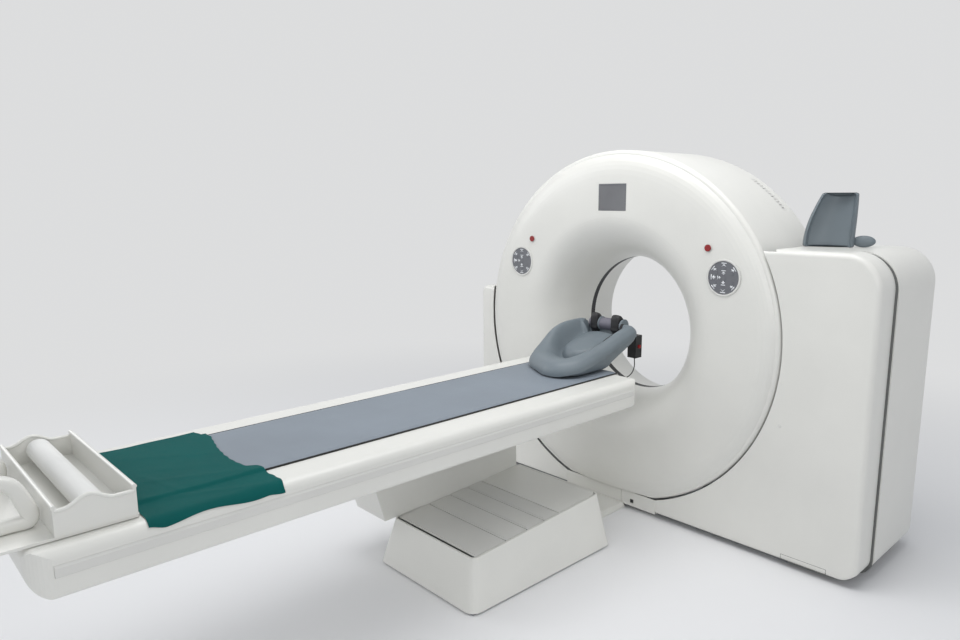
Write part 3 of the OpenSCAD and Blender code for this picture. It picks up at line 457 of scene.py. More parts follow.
def drum_cutter(y0, y1, radius, name, left=-math.inf):
    """A round cutter about the scan axis; left is how far it may reach to the left."""
    ring = [(max(left, radius * math.cos(a)), radius * math.sin(a)) for a in round_angles(256)]
    obj = bare_object(name, *loft([[(x, y, ISO + z) for x, z in ring] for y in (y0, y1)]))
    fix_normals(obj)
    return obj


def cut(obj, cutters):
    """Takes the cutters out of the piece for good."""
    for cutter in cutters:
        mod = obj.modifiers.new("cut", "BOOLEAN")
        mod.operation = "DIFFERENCE"
        mod.solver = "EXACT"
        mod.object = cutter
    deps = bpy.context.evaluated_depsgraph_get()
    mesh = bpy.data.meshes.new_from_object(obj.evaluated_get(deps))
    obj.modifiers.clear()
    old = obj.data
    obj.data = mesh
    bpy.data.meshes.remove(old)


def side_cover(name, node, rings_outer, rings_inner, cutters):
    """A hollow cover: its outer body less its inner one and the cutters."""
    outer = new_piece(name, *loft(rings_outer), "base", "cover_white")
    inner = bare_object(name + "_inner", *loft(rings_inner))
    fix_normals(inner)
    cut(outer, [inner, *cutters])
    bpy.data.objects.remove(inner)
    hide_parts(node)
    smooth(outer, 28)


def make_side_covers():
    inside_y = FRONT_Y + SKIN
    opening = drum_cutter(CUT_START, CUT_END, CUT_R, "cut_opening")
    room = drum_cutter(inside_y, CUT_END, ROOM_R, "cut_room")

    def slab_rings(inset, end_y):
        return rolled(SLAB, inset, FRONT_Y, FRONT_ROLL, 1, False) + [cover_ring(SLAB, inset, 0, end_y, False)]

    def rear_rings(inset, start_y):
        rear = rolled(RIGHT, inset, REAR_Y, RIGHT_REAR_ROLL, -1, False)
        return [cover_ring(RIGHT, inset, 0, start_y, False)] + rear

    def left_rings(inset):
        front = rolled(LEFT, inset, FRONT_Y, FRONT_ROLL, 1, True)
        return front + rolled(LEFT, inset, REAR_Y, LEFT_REAR_ROLL, -1, True)

    side_cover("front_cover_right", "right_front_cover", slab_rings(0, STRIP_Y0),
               slab_rings(SKIN, STRIP_Y0 + OVERLAP), [opening, room])
    side_cover("rear_cover_right", "right_rear_cover", rear_rings(0, STRIP_Y1),
               rear_rings(SKIN, STRIP_Y1 - OVERLAP), [opening, room])
    left_room = drum_cutter(inside_y - OVERLAP, CUT_END, ROOM_R, "cut_left_room", -CUT_R)
    left_hole = drum_cutter(-0.4, inside_y + OVERLAP, CUT_R, "cut_left_hole")
    side_cover("side_cover_left", "left_side_cover", left_rings(0), left_rings(SKIN), [left_hole, left_room])
    for cutter in (opening, room, left_room, left_hole):
        bpy.data.objects.remove(cutter)


# ---------- arm and head support ----------
BACK_Y = -0.309
SUPPORT_CENTRE = Vector((0, -0.60))
# Heights of the rim's crest along both sides, the pad and the groove in front of it, by Y
NEAR_RIM = [(-0.83, 0.842), (-0.77, 0.858), (-0.70, 0.872), (-0.60, 0.899), (-0.50, 0.932), (-0.42, 0.956),
            (-0.35, 0.970), (BACK_Y, 0.974)]
FAR_RIM = [(-0.80, 0.842), (-0.74, 0.846), (-0.69, 0.858), (-0.65, 0.880), (-0.60, 0.912), (-0.55, 0.942),
           (-0.50, 0.960), (-0.44, 0.970), (-0.35, 0.974), (BACK_Y, 0.974)]
PAD_TOP = [(-0.63, 0.858), (-0.58, 0.870), (-0.51, 0.896), (-0.43, 0.914), (-0.36, 0.924), (BACK_Y, 0.928)]
GROOVE = [(-0.72, 0.815), (-0.62, 0.818), (-0.54, 0.846), (-0.46, 0.880), (-0.38, 0.902), (BACK_Y, 0.910)]
CREST = 0.038  # from the outer wall to the rim's crest
WALL_DROP = 0.028  # from the crest down to the top of the outer wall, and how far the foot is drawn in
PAD_Y, PAD_R = -0.515, 0.093  # the pad's round front
PAD_ROLL = 0.026  # width of the pad's rolled edge
CLAMP_TOP = 0.896  # the upper side's height under the grip bar's clamps
UNDERSIDE, RISE_Y, RISE_SLOPE = 0.7902, -0.545, 0.395  # flat on the carrier, then rising from a Y
# Side, from the top down: how far it stands out, and the drop in metres or as a share of the height
SIDES = [(0.0022, -0.008), (0.0030, -0.016), (0.0026, -0.026), (0.0004, -0.30), (-0.004, -0.55),
         (-0.010, -0.78), (-0.018, -0.93), (-WALL_DROP, -1.0)]


def support_points():
    """Plan outline of the support, anticlockwise: round at its front corners, straight across the back."""
    pts = arc_points(-0.072, -0.650, 0.108, 180, 242.2, 12) + arc_points(0.062, -0.705, 0.122, 242.2, 360, 20)
    pts += [(0.187, -0.62), (0.190, -0.55), (0.192, -0.48), (0.191, -0.41), (0.187, -0.36)]
    pts += arc_points(0.150, -0.345, 0.036, 10, 90, 8)
    pts += [(x, BACK_Y) for x in (0.10, 0.05, 0, -0.05, -0.10)]
    pts += arc_points(-0.150, -0.345, 0.036, 90, 170, 8)
    return pts + [(-0.187, -0.36), (-0.191, -0.41), (-0.192, -0.48), (-0.189, -0.55), (-0.184, -0.60)]


def on_back_edge(p):
    return abs(p[0]) < 0.150 and p[1] > -0.5


OUTLINE = support_points()
EDGES = list(zip(OUTLINE, OUTLINE[1:] + OUTLINE[:1]))
# The rim runs along the sides and the front only
WALL = [(a, b) for a, b in EDGES if not (on_back_edge(a) and on_back_edge(b))]


def support_ring(n=180):
    """The outline at even angles about its centre."""
    ring = []
    for a in round_angles(n):
        way = Vector((math.cos(a), math.sin(a)))
        best = 0.0
        for p, q in EDGES:
            e, f = Vector(p) - SUPPORT_CENTRE, Vector(q) - Vector(p)
            det = way.x * -f.y + way.y * f.x
            if abs(det) < 1e-12:
                continue
            t = (e.x * -f.y + e.y * f.x) / det
            u = (way.x * e.y - way.y * e.x) / det
            if t > 0 and -1e-6 <= u <= 1 + 1e-6:
                best = max(best, t)
        ring.append(SUPPORT_CENTRE + way * best)
    return ring


def along_curve(points, x):
    """Smooth value at x through rising points."""
    k = max(i for i in range(len(points) - 1) if i == 0 or x >= points[i][0])
    x = max(points[0][0], min(points[-1][0], x))

    def lean(i):
        lo, hi = points[max(i - 1, 0)], points[min(i + 1, len(points) - 1)]
        return (hi[1] - lo[1]) / (hi[0] - lo[0])

    (x0, z0), (x1, z1) = points[k], points[k + 1]
    w = x1 - x0
    t = (x - x0) / w
    return (z0 * (1 + 2 * t) * (1 - t) ** 2 + w * lean(k) * t * (1 - t) ** 2 + z1 * t * t * (3 - 2 * t)
            + w * lean(k + 1) * t * t * (t - 1))


def rim_height(x, y):
    near = ease((x + 0.11) / 0.22)
    return along_curve(FAR_RIM, y) * (1 - near) + along_curve(NEAR_RIM, y) * near


def under_height(x, y):
    """Underside: flat on the mat's carrier, then rising with it towards the bore."""
    past = y - RISE_Y
    rise = ease(past / 0.05) * max(0.0, past) * RISE_SLOPE
    edge = ease((abs(x) - 0.09) / 0.08) * 0.012
    return UNDERSIDE + rise + edge * ease((y + 0.60) / 0.2)


def wall_distance(x, y):
    """Distance from a point to the line of the outer wall."""
    best = math.inf
    for (ax, ay), (bx, by) in WALL:
        dx, dy = bx - ax, by - ay
        u = max(0.0, min(1.0, ((x - ax) * dx + (y - ay) * dy) / (dx * dx + dy * dy)))
        best = min(best, math.hypot(x - ax - u * dx, y - ay - u * dy))
    return best


def open_top(x, y):
    """A broad rolled rim, a deep groove and a raised pad with a round front."""
    d = wall_distance(x, y)
    rim = rim_height(x, y)
    if d < CREST:
        return rim - WALL_DROP * (1 - d / CREST) ** 2.2
    low = along_curve(GROOVE, y)
    pad_d = math.hypot(x, min(0.0, y - PAD_Y)) - PAD_R
    if pad_d > 0:
        t = (d - CREST) / (d - CREST + pad_d)
        return rim + (low - rim) * ease(t ** 1.15)
    high = along_curve(PAD_TOP, y) - 0.012 * (x / 0.09) ** 2
    edge = 1 - min(1.0, -pad_d / PAD_ROLL)
    return low + (high - low) * math.sqrt(1 - edge * edge)


def support_top(x, y):
    """Height of the support's upper side, lowered where the grip bar's clamps stand."""
    z = open_top(x, y)
    room = ease((y + 0.362) / 0.016) * ease((x + 0.126) / 0.012) * ease((0.102 - x) / 0.012)
    return z + (min(z, CLAMP_TOP) - z) * room


def weld_centre(obj):
    """Joins the points that meet where a grid of rings closes."""
    bm = bmesh.new()
    bm.from_mesh(obj.data)
    bmesh.ops.remove_doubles(bm, verts=bm.verts, dist=0.0002)
    bmesh.ops.recalc_face_normals(bm, faces=bm.faces)
    bm.to_mesh(obj.data)
    bm.free()
    smooth(obj, 60)


def make_arm_support():
    ring = support_ring()
    top_steps, foot_steps = 48, 8
    verts = []
    for i in range(top_steps + 1):
        for p in ring:
            q = SUPPORT_CENTRE + (p - SUPPORT_CENTRE) * (i / top_steps) ** 0.9
            verts.append((q.x, q.y, support_top(q.x, q.y)))
    # The side bulges a little below the rim, then draws in to the dark foot
    for out, drop in SIDES:
        for p in ring:
            back = ease((-0.312 - p.y) / 0.006)
            q = p + (p - SUPPORT_CENTRE).normalized() * (out if out < 0 else out * back)
            high = rim_height(p.x, p.y) - WALL_DROP
            low = under_height(p.x, p.y)
            z = high + drop if drop > -0.1 else high + (low - high) * -drop
            verts.append((q.x, q.y, max(z, low)))
    for i in range(foot_steps):
        for p in ring:
            foot = p - (p - SUPPORT_CENTRE).normalized() * WALL_DROP
            q = SUPPORT_CENTRE + (foot - SUPPORT_CENTRE) * (1 - (i + 1) / foot_steps)
            verts.append((q.x, q.y, under_height(q.x, q.y)))
    faces = band_faces(len(verts) // len(ring), len(ring))
    obj = new_piece("arm_support_foam", verts, faces, "tabletop", "grey_foam", 60)
    weld_centre(obj)
    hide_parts("arm_support")


# ---------- cloth ----------
# Front edge of the cloth: distance over the surface from the middle, and Y
SHEET_FRONT = [(-0.284, -2.271), (-0.230, -2.262), (-0.179, -2.257), (-0.10, -2.276), (-0.04, -2.290),
               (0.025, -2.299), (0.096, -2.303), (0.150, -2.299), (0.174, -2.292), (0.190, -2.268),
               (0.210, -2.259), (0.252, -2.262), (0.31, -2.258), (0.40, -2.261)]
SHEET_BACK, SHEET_LEFT, SHEET_RIGHT = -2.631, -0.290, 0.356
SHEET_LIFT, SHEET_THICK = 0.0016, 0.0011
# Start, end, height and half width of each fold
FOLDS = [((-0.20, -2.63), (0.02, -2.28), 0.0016, 0.022), ((-0.05, -2.63), (0.12, -2.31), 0.0012, 0.018),
         ((0.08, -2.60), (0.22, -2.27), 0.0022, 0.016), ((0.20, -2.63), (0.33, -2.30), 0.0030, 0.016),
         ((-0.26, -2.45), (0.10, -2.40), 0.0010, 0.024), ((0.02, -2.56), (0.24, -2.50), 0.0024, 0.012)]
SHOULDER_R = 0.030  # of the table beam's long edges
MAT_SLOPE = 0.016  # width over which the cloth comes down from the mat


def along_line(points, x):
    for (x0, y0), (x1, y1) in zip(points, points[1:]):
        if x <= x1:
            return y0 + (y1 - y0) * (x - x0) / (x1 - x0)
    return points[-1][1]


def under_cloth(s):
    """Point and outward direction on the table's section, s metres over the surface from the middle."""
    side = 1 if s >= 0 else -1
    flat_end = BEAM_X - SHOULDER_R
    if abs(s) < flat_end:
        down = ease((abs(s) - TOP_X + MAT_SLOPE / 4) / MAT_SLOPE)
        return Vector((s, 0, MAT_TOP - (MAT_TOP - BEAM_TOP) * down)), Vector((0, 0, 1))
    turn = (abs(s) - flat_end) / SHOULDER_R
    if turn < math.pi / 2:
        out = Vector((side * math.sin(turn), 0, math.cos(turn)))
        return Vector((side * flat_end, 0, BEAM_TOP - SHOULDER_R)) + out * SHOULDER_R, out
    drop = (turn - math.pi / 2) * SHOULDER_R
    return Vector((side * BEAM_X, 0, BEAM_TOP - SHOULDER_R - drop)), Vector((side, 0, 0))


def fold_lift(s, y):
    """How far the folds lift the cloth at a point."""
    lift = 0.0
    for (ax, ay), (bx, by), high, wide in FOLDS:
        run, off = Vector((bx - ax, by - ay)), Vector((s - ax, y - ay))
        u = max(0.0, min(1.0, off.dot(run) / run.length_squared))
        gap = (off - run * u).length
        lift += high * math.sin(math.pi * (0.15 + 0.7 * u)) * math.exp(-(gap / wide) ** 2)
    return lift


def make_green_sheet():
    """A thin cloth laid over the mat and rails, with long soft folds and one edge over the near shoulder."""
    across, down = 150, 84
    verts = []
    for i in range(across + 1):
        for j in range(down + 1):
            t = j / down
            left = SHEET_LEFT + 0.010 * math.sin(3 * t)
            right = SHEET_RIGHT + 0.006 * math.sin(9 * t + 1)
            right += 0.012 * ease((t - 0.85) / 0.15) - 0.010 * ease((0.12 - t) / 0.12)
            s = left + (right - left) * i / across
            front = along_line(SHEET_FRONT, s) + 0.0015 * math.sin(140 * s)
            y = SHEET_BACK + (front - SHEET_BACK) * t
            base, out = under_cloth(s)
            ripple = 0.0013 * (noise.noise(Vector((s * 11, y * 11, 0.3))) + 0.7)
            p = base + out * (SHEET_LIFT + fold_lift(s, y) + ripple)
            verts.append((p.x, y, p.z))
    faces = []
    for i in range(across):
        for j in range(down):
            a = i * (down + 1) + j
            faces.append((a, a + down + 1, a + down + 2, a + 1))
    obj = new_piece("green_cloth", verts, faces, "tabletop", "green_fabric", 80)
    thicken(obj, SHEET_THICK)
    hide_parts("green_sheet")


def thicken(obj, thickness):
    thick = obj.modifiers.new("thickness", "SOLIDIFY")
    thick.thickness = thickness
    thick.offset = 1.0


# ---------- mat ----------
MAT_ROUND = 0.006  # width of the mat's rolled edges
# Width, height and clearance of the painted shade strips that stand for the shadowed gap along the mat's long
# edges
GAP_SHADE_WIDTH, GAP_SHADE_HIGH, GAP_SHADE_CLEAR = 0.0035, 0.005, 0.004


def make_mat():
    """Vinyl-covered foam mat: rolled long edges, a faint welded seam and a slightly uneven top."""
    lo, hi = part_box("mat")
    rows, cols = 240, 36
    sections = []
    for i in range(rows + 1):
        y = lo.y + (hi.y - lo.y) * i / rows
        end = min(y - lo.y, hi.y - y)
        top = []
        for k in range(cols + 1):
            u = -1 + 2 * k / cols
            x = u * (hi.x - 0.0005)
            edge = (1 - abs(u)) * hi.x
            drop = 0.0045 * max(0.0, 1 - edge / MAT_ROUND) ** 2 + 0.004 * max(0.0, 1 - end / MAT_ROUND) ** 2
            seam = 0.0008 * math.exp(-((edge - 0.016) / 0.0016) ** 2)
            wave = 0.0006 * noise.noise(Vector((x * 6, y * 5, 1.7)))
            top.append((x, y, hi.z - drop - seam + wave - 0.0006))
        sections.append(top + [(x, y, lo.z) for x, _, _ in top[::-1]])
    obj = new_piece("mat_pad", *loft(sections), "tabletop", "mat_grey", 40)
    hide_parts("mat")


def make_mat_gap_shade():
    """Painted shade: a dark strip along each long edge of the mat, where the gap beside it lies in shadow,
    from the cloth to the head end.
    """
    lo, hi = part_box("mat")
    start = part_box("green_sheet")[1].y + GAP_SHADE_CLEAR
    profile = [(0.0, 0.0), (GAP_SHADE_WIDTH, 0.0), (GAP_SHADE_WIDTH, GAP_SHADE_HIGH * 0.6), (0.0, GAP_SHADE_HIGH)]
    for edge, side, name in ((hi.x, 1, "mat_gap_shade_right"), (lo.x, -1, "mat_gap_shade_left")):
        rings = [[(edge + side * u, y, lo.z + v) for u, v in profile] for y in (start, hi.y)]
        # black_rubber here colours painted shade: the shadowed gap beside the mat, not a rubber part
        new_piece(name, *loft(rings), "tabletop", "black_rubber", 40)


# ---------- control panels ----------
RING_IN, RING_OUT, RING_BACK, RING_FRONT = 0.0733, 0.0819, -0.3064, -0.3098
KEY_Y, KEY_THICK = -0.3077, 0.0010
# Angle in degrees, distance from the panel's centre and size of each arrow key
KEYS = [(90, 0.052, 0.0150), (90, 0.021, 0.0130), (142, 0.054, 0.0140), (38, 0.054, 0.0140),
        (180, 0.047, 0.0145), (180, 0.019, 0.0100), (270, 0.052, 0.0150), (270, 0.021, 0.0130),
        (222, 0.054, 0.0140), (318, 0.054, 0.0125)]
ARROW_HEAD = [(0.55, 0), (-0.15, 0.72), (-0.15, 0.24), (-0.62, 0.24), (-0.62, -0.24), (-0.15, -0.24),
              (-0.15, -0.72)]
ARROW_BAR = [(0.66, 0.80), (0.66, -0.80), (0.94, -0.80), (0.94, 0.80)]


def ring_bead(x, z, r0, r1, y0, y1, sides=96):
    """A flat ring with a rounded front, seen round each control panel."""
    section = [(r0, y0), (r0, y1 + 0.0006), (r0 + 0.0008, y1), (r1 - 0.0010, y1), (r1, y1 + 0.0008), (r1, y0)]
    verts = [(x + r * math.cos(a), y, z + r * math.sin(a)) for a in round_angles(sides) for r, y in section]
    return verts, band_faces(sides, len(section), closed=True)


def plate(points, y, thick):
    """A thin flat plate from an outline in X and Z."""
    n = len(points)
    verts = [(px, y, pz) for px, pz in points] + [(px, y + thick, pz) for px, pz in points]
    faces = [tuple(range(n)), tuple(range(2 * n - 1, n - 1, -1))]
    return verts, faces + [(k, (k + 1) % n, n + (k + 1) % n, n + k) for k in range(n)]


def arrow(x, z, turn, size):
    """An arrow key with a bar in front of its tip, pointing outwards at the angle."""
    c, d = math.cos(math.radians(turn)), math.sin(math.radians(turn))
    parts = []
    for shape in (ARROW_HEAD, ARROW_BAR):
        placed = [(x + size * (u * c - v * d), z + size * (u * d + v * c)) for u, v in shape]
        parts.append(plate(placed, KEY_Y, KEY_THICK))
    return parts


def make_keypads():
    for side, name in ((-1, "left"), (1, "right")):
        x = side * PANEL_X
        bead = ring_bead(x, PANEL_Z, RING_IN, RING_OUT, RING_BACK, RING_FRONT)
        new_piece("keypad_ring_" + name, *bead, "tilt", "light_plastic", 50)
        keys = []
        for turn, out, size in KEYS:
            a = math.radians(turn)
            keys += arrow(x + out * math.cos(a), PANEL_Z + out * math.sin(a), turn, size)
        new_piece("keypad_keys_" + name, *joined(keys), "tilt", "key_white", 50)


# ---------- grip bar, strap and lead ----------
# X and radius along the foam sleeve of the grip bar
SLEEVE = [(-0.108, 0.018), (-0.1095, 0.024), (-0.108, 0.0285), (-0.104, 0.0300), (-0.094, 0.0300),
          (-0.088, 0.0290), (-0.050, 0.0288), (-0.040, 0.0300), (0.0, 0.0304), (0.040, 0.0300),
          (0.050, 0.0288), (0.076, 0.0290), (0.080, 0.0298), (0.083, 0.0285), (0.084, 0.020)]
# Height over the bar's radius, angle in degrees and width of the bulges round a clamp
CLAMP_BULGES = [(0.62, 112, 30), (0.42, 262, 26), (0.24, 218, 16)]
STRAP_START, STRAP_RUN = (0.104, -0.345), (0.030, -0.178)
STRAP_THICK = 0.0018
LEAD = [(0.110, -0.237, 0.7915), (0.112, -0.238, 0.775), (0.118, -0.245, 0.755), (0.128, -0.265, 0.738),
        (0.142, -0.300, 0.726), (0.156, -0.345, 0.720), (0.170, -0.395, 0.722), (0.182, -0.440, 0.732),
        (0.192, -0.475, 0.744), (0.200, -0.500, 0.752), (0.204, -0.519, 0.755)]


def round_grip(profile, sides=48, shape=None):
    """Body turned about the grip bar's axis; profile is X and radius, shape the factor by angle."""
    turns = [(a, shape(a) if shape else 1.0) for a in round_angles(sides)]
    return loft([[(x, GRIP_Y + r * f * math.cos(a), GRIP_Z + r * f * math.sin(a)) for a, f in turns]
                 for x, r in profile])


def clamp_shape(a):
    deg = math.degrees(a)
    off = [((deg - at + 180) % 360 - 180) / wide for _, at, wide in CLAMP_BULGES]
    return 1.0 + sum(high * math.exp(-o * o) for o, (high, _, _) in zip(off, CLAMP_BULGES))


def make_grip():
    """Foam-covered grip bar with its two strapped clamps."""
    bar = new_piece("grip_sleeve", *round_grip(SLEEVE), "tabletop", "grip_mauve", 40)
    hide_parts("grip_bar")
    for name, x0, x1 in (("far", -0.098, -0.052), ("near", 0.030, 0.082)):
        w = x1 - x0
        body = [(x0, 0.022), (x0 + 0.002, 0.0300), (x0 + 0.006, 0.0335), (x0 + 0.3 * w, 0.0350),
                (x0 + 0.5 * w, 0.0354), (x0 + 0.7 * w, 0.0350), (x1 - 0.006, 0.0335), (x1 - 0.002, 0.0300),
                (x1, 0.022)]
        new_piece("clamp_" + name, *round_grip(body, 72, clamp_shape), "tabletop", "dark_plastic", 50)
    for name, x0, x1 in (("far", -0.050, -0.042), ("near", 0.084, 0.096)):
        band = [(x0, 0.026), (x0 + 0.0008, 0.0335), (x0 + 0.002, 0.0345), (x1 - 0.002, 0.0345),
                (x1 - 0.0008, 0.0335), (x1, 0.026)]
        new_piece("webbing_" + name, *round_grip(band), "tabletop", "grey_foam", 50)


def make_strap():
    """Tapered strap end that lies along the near rim's inner edge."""
    run, across = 30, 6
    verts, faces = [], []
    for i in range(run + 1):
        t = i / run
        x = STRAP_START[0] + STRAP_RUN[0] * t + 0.006 * math.sin(3 * t)
        y = STRAP_START[1] + STRAP_RUN[1] * t
        half = 0.013 * (1 - t) ** 0.7 + 0.0012
        for k in range(across + 1):
            u = -1 + 2 * k / across
            px, py = x + half * u * 0.98, y + half * u * 0.18
            verts.append((px, py, support_top(px, py) + 0.0012 + 0.0012 * math.sin(9 * t) ** 2))
    for i in range(run):
        for k in range(across):
            a = i * (across + 1) + k
            faces.append((a, a + 1, a + across + 2, a + across + 1))
    strap = new_piece("strap_end", verts, faces, "tabletop", "webbing_black", 70)
    thicken(strap, STRAP_THICK)


def make_lead():
    path = smooth_path(LEAD)
    lead = new_piece("support_cord", *tube(path, 0.0025, 14), "tabletop", "black_rubber", 60)
    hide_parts("support_lead")


# ---------- paper roll ----------
PAPER_GAP = 0.0012  # the wound paper lies this far inside the solid
CORE_R = 0.0066
WOUND_RINGS = 12


def make_roll():
    """Paper roll: wound body with a slightly loose edge, its ends showing the wound layers."""
    lo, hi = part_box("paper_roll")
    cy, cz, r = (lo.y + hi.y) / 2, (lo.z + hi.z) / 2, (hi.z - lo.z) / 2 - PAPER_GAP
    sides, rows = 96, 40
    verts = []
    for i in range(rows + 1):
        x = lo.x + (hi.x - lo.x) * i / rows
        for k, a in enumerate(round_angles(sides)):
            sag = 0.0004 * noise.noise(Vector((x * 9, math.cos(a) * 2, math.sin(a) * 2)))
            rad = r + sag + 0.0006 * (k / sides)
            verts.append((x, cy + rad * math.cos(a), cz + rad * math.sin(a)))
    faces = band_faces(rows + 1, sides)
    inner = []
    for row, way in ((0, 1), (rows, -1)):
        end_x = verts[row * sides][0]
        last = [row * sides + k for k in range(sides)]
        for ring in range(1, WOUND_RINGS + 1):
            share = ring / WOUND_RINGS
            rad = r * (1 - share) + CORE_R * share
            x = end_x + way * 0.0008 * (ring % 2)
            new = [len(verts) + k for k in range(sides)]
            verts += [(x, cy + rad * math.cos(a), cz + rad * math.sin(a)) for a in round_angles(sides)]
            faces += [(last[k - 1], last[k], new[k], new[k - 1]) for k in range(sides)]
            last = new
        inner.append(last)
    first, last = inner
    faces += [(first[k - 1], first[k], last[k], last[k - 1]) for k in range(sides)]
    roll = new_piece("roll_of_paper", verts, faces, "paper_roll", "paper_white", 50)
    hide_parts("paper_roll")


# ---------- parked cradle ----------
CRADLE_PLACE = (Matrix.Translation((0.908, 0.050, RIGHT_TOP + 0.0003))
                @ Matrix.Rotation(math.radians(19), 4, "Z"))
CRADLE_FOOT, CRADLE_H = 0.0006, 0.2310
TONGUE_X, TONGUE_Z = 0.139, 0.0256
TONGUE_HALF = (0.046, 0.0144, 0.0250)


def cradle_section(t, cols=48):
    """Outline of the cradle's channel at a share of its height, back first."""
    z = CRADLE_FOOT + CRADLE_H * t
    mid = 0.036 * ease(t * 0.5) * 2
    half = 0.103 - 0.032 * t ** 1.2 + 0.006 * math.sin(math.pi * t)
    eased = 0.006 * max(0.0, 1 - t / 0.02) + 0.010 * max(0.0, (t - 0.97) / 0.03) ** 2
    steps = [-1 + 2 * k / cols for k in range(cols + 1)]
    section = []
    for u in steps:
        back = 0.046 - 0.052 * abs(u) ** 2.6 - 0.006 * t
        section.append((mid + (half - eased) * u, back - eased, z))
    for u in steps[::-1]:
        edge = ease((abs(u) - 0.80) / 0.07)
        bowl = -0.020 + 0.040 * (1 - u * u) * (0.62 + 0.38 * t)
        front = bowl * (1 - edge) + (-0.034 + 0.020 * max(0.0, (abs(u) - 0.88) / 0.12) ** 2) * edge
        if abs(u) > 0.985:
            front = -0.008
        dip = -0.012 * (1 - u * u) * max(0.0, (t - 0.9) / 0.1)
        section.append((mid + (half - eased) * u * 0.995, front + eased, z + dip))
    return [CRADLE_PLACE @ Vector(p) for p in section]


def make_cradle():
    """Parked cradle: a padded channel that narrows upwards, with raised edges, and its round tongue."""
    rows = 60
    sections = [cradle_section(i / rows) for i in range(rows + 1)]
    foam = new_piece("parked_cradle_foam", *loft(sections), "base", "grey_foam", 48)
    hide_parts("parked_cradle")
    rings, sides = 17, 32
    long, thick, high = TONGUE_HALF
    ball = []
    for i in range(rings):
        a = math.pi * i / (rings - 1)
        ball += [CRADLE_PLACE @ Vector((TONGUE_X + long * math.sin(a) * math.cos(b),
                                        thick * math.sin(a) * math.sin(b), TONGUE_Z + high * math.cos(a)))
                 for b in round_angles(sides)]
    tongue = new_piece("parked_cradle_tongue", ball, band_faces(rings, sides), "base", "grey_foam", 60)
    weld_centre(tongue)


# ---------- foot end: handles and tray ----------
HANDLE_X, HANDLE_HALF = 0.196, 0.018
# Y from the foot plate's middle, Z above it and half thickness along a handle
HANDLE = [(-0.062, 0.019, 0.017), (-0.071, 0.050, 0.0175), (-0.073, 0.080, 0.0175), (-0.066, 0.106, 0.0175),
          (-0.048, 0.124, 0.0175), (-0.024, 0.130, 0.0175), (0.000, 0.125, 0.0175), (0.018, 0.110, 0.018),
          (0.029, 0.086, 0.019), (0.038, 0.060, 0.020), (0.046, 0.036, 0.020), (0.040, 0.018, 0.018),
          (0.010, 0.017, 0.0165), (-0.030, 0.017, 0.0165)]
OVAL_POWER = 3.2
LIP_R, SIDE_LIP_R = 0.0058, 0.0054


def oval_loop(points, half_x, x, sides=20):
    """A closed loop of oval section in a plane of constant X; each point is Y, Z and its half thickness."""
    n = len(points)
    verts = []
    for i, (y, z, r) in enumerate(points):
        before, after = points[i - 1], points[(i + 1) % n]
        run = Vector((after[0] - before[0], after[1] - before[1])).normalized()
        for a in round_angles(sides):
            u, v = math.cos(a), math.sin(a)
            fat = 1 / (abs(u) ** OVAL_POWER + abs(v) ** OVAL_POWER) ** (1 / OVAL_POWER)
            height = max(TRAY_Z + 0.0006, z + run.x * r * v * fat)
            verts.append((x + half_x * u * fat, y - run.y * r * v * fat, height))
    return verts, band_faces(n, sides, closed=True)


def make_handles():
    """Two thick moulded loops at the foot end."""
    path = [(FOOT_Y + v.x, TRAY_Z + v.y, v.z) for v in smooth_path(HANDLE, closed=True)]
    loops = joined([oval_loop(path, HANDLE_HALF, side * HANDLE_X) for side in (-1, 1)])
    handles = new_piece("foot_handles", *loops, "tabletop", "cover_white", 60)
    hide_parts("grab_handles")


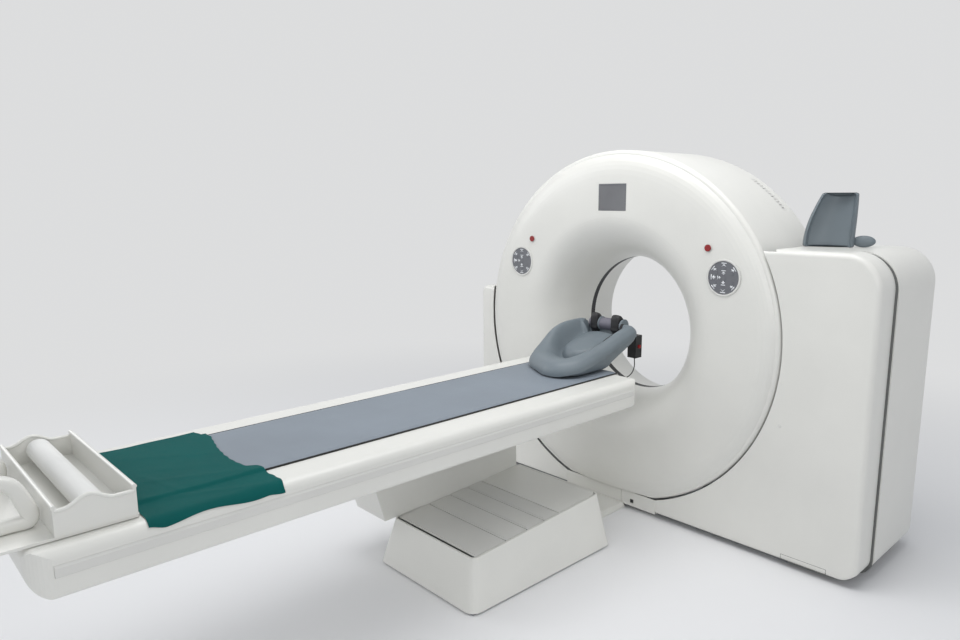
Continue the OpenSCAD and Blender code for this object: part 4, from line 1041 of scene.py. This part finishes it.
def make_tray_lips():
    """Rolled lips along the tops of the tray's walls."""
    lo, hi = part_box("roll_tray")

    def hump(u):
        return TRAY_H - 0.008 + 0.022 * math.sin(math.pi * min(max((u - 0.12) / 0.62, 0), 1)) ** 2

    parts = []
    for y, rise in ((lo.y + TRAY_WALL / 2, -0.001), (hi.y - TRAY_WALL / 2, 0.003)):
        run = [(lo.x + 0.001 + (hi.x - lo.x - 0.002) * k / 24, y, TRAY_Z + TRAY_H + rise) for k in range(25)]
        parts.append(tube(run, LIP_R, 14))
    for x in (lo.x + TRAY_WALL / 2, hi.x - TRAY_WALL / 2):
        run = [(x, lo.y + (hi.y - lo.y) * k / 40, TRAY_Z + hump(k / 40) - 0.0012) for k in range(1, 40)]
        parts.append(tube(run, SIDE_LIP_R, 14))
    new_piece("tray_lips", *joined(parts), "tabletop", "cover_white", 60)


# ---------- small details of the covers ----------
CAP_X, CAP_Z, CAP_R, CAP_PROUD, CAP_THICK, CAP_RIM = 0.894, 0.622, 0.0085, 0.0012, 0.0030, 0.0008
FLAP_X0, FLAP_X1, FLAP_Z0, FLAP_Z1, FLAP_LINE = 0.936, 1.132, 0.030, 0.053, 0.0016
BOX_FACES = [(0, 1, 3, 2), (4, 6, 7, 5), (0, 4, 5, 1), (2, 3, 7, 6), (0, 2, 6, 4), (1, 5, 7, 3)]


def make_cover_details():
    """Service cap and the shallow lines round the flap at the foot of the right front cover."""
    front = FRONT_Y - CAP_PROUD
    rings = [[(CAP_X + r * math.cos(a), y, CAP_Z + r * math.sin(a)) for a in round_angles(28)]
             for r, y in ((CAP_R - CAP_RIM, front), (CAP_R, front + CAP_RIM), (CAP_R, front + CAP_THICK))]
    new_piece("service_cap", *loft(rings), "base", "light_plastic", 50)
    x0, x1, z0, z1, w = FLAP_X0, FLAP_X1, FLAP_Z0, FLAP_Z1, FLAP_LINE
    sides = [((x0, x1), (z0, z0 + w)), ((x0, x1), (z1 - w, z1)), ((x0, x0 + w), (z0, z1)),
             ((x1 - w, x1), (z0, z1))]
    lines = [([(x, y, z) for x in xs for y in (FRONT_Y - 0.0003, FRONT_Y + 0.0012) for z in zs], BOX_FACES)
             for xs, zs in sides]
    new_piece("flap_line", *joined(lines), "base", "seam_dark", 50)


make_camera()
make_floor()
make_light()
dress_nodes()
for name, width in SOFT_EDGES.items():
    soften(name, width)
make_side_covers()
make_arm_support()
make_green_sheet()
make_mat()
make_mat_gap_shade()
make_keypads()
make_grip()
make_strap()
make_lead()
make_roll()
make_cradle()
make_handles()
make_tray_lips()
make_cover_details()
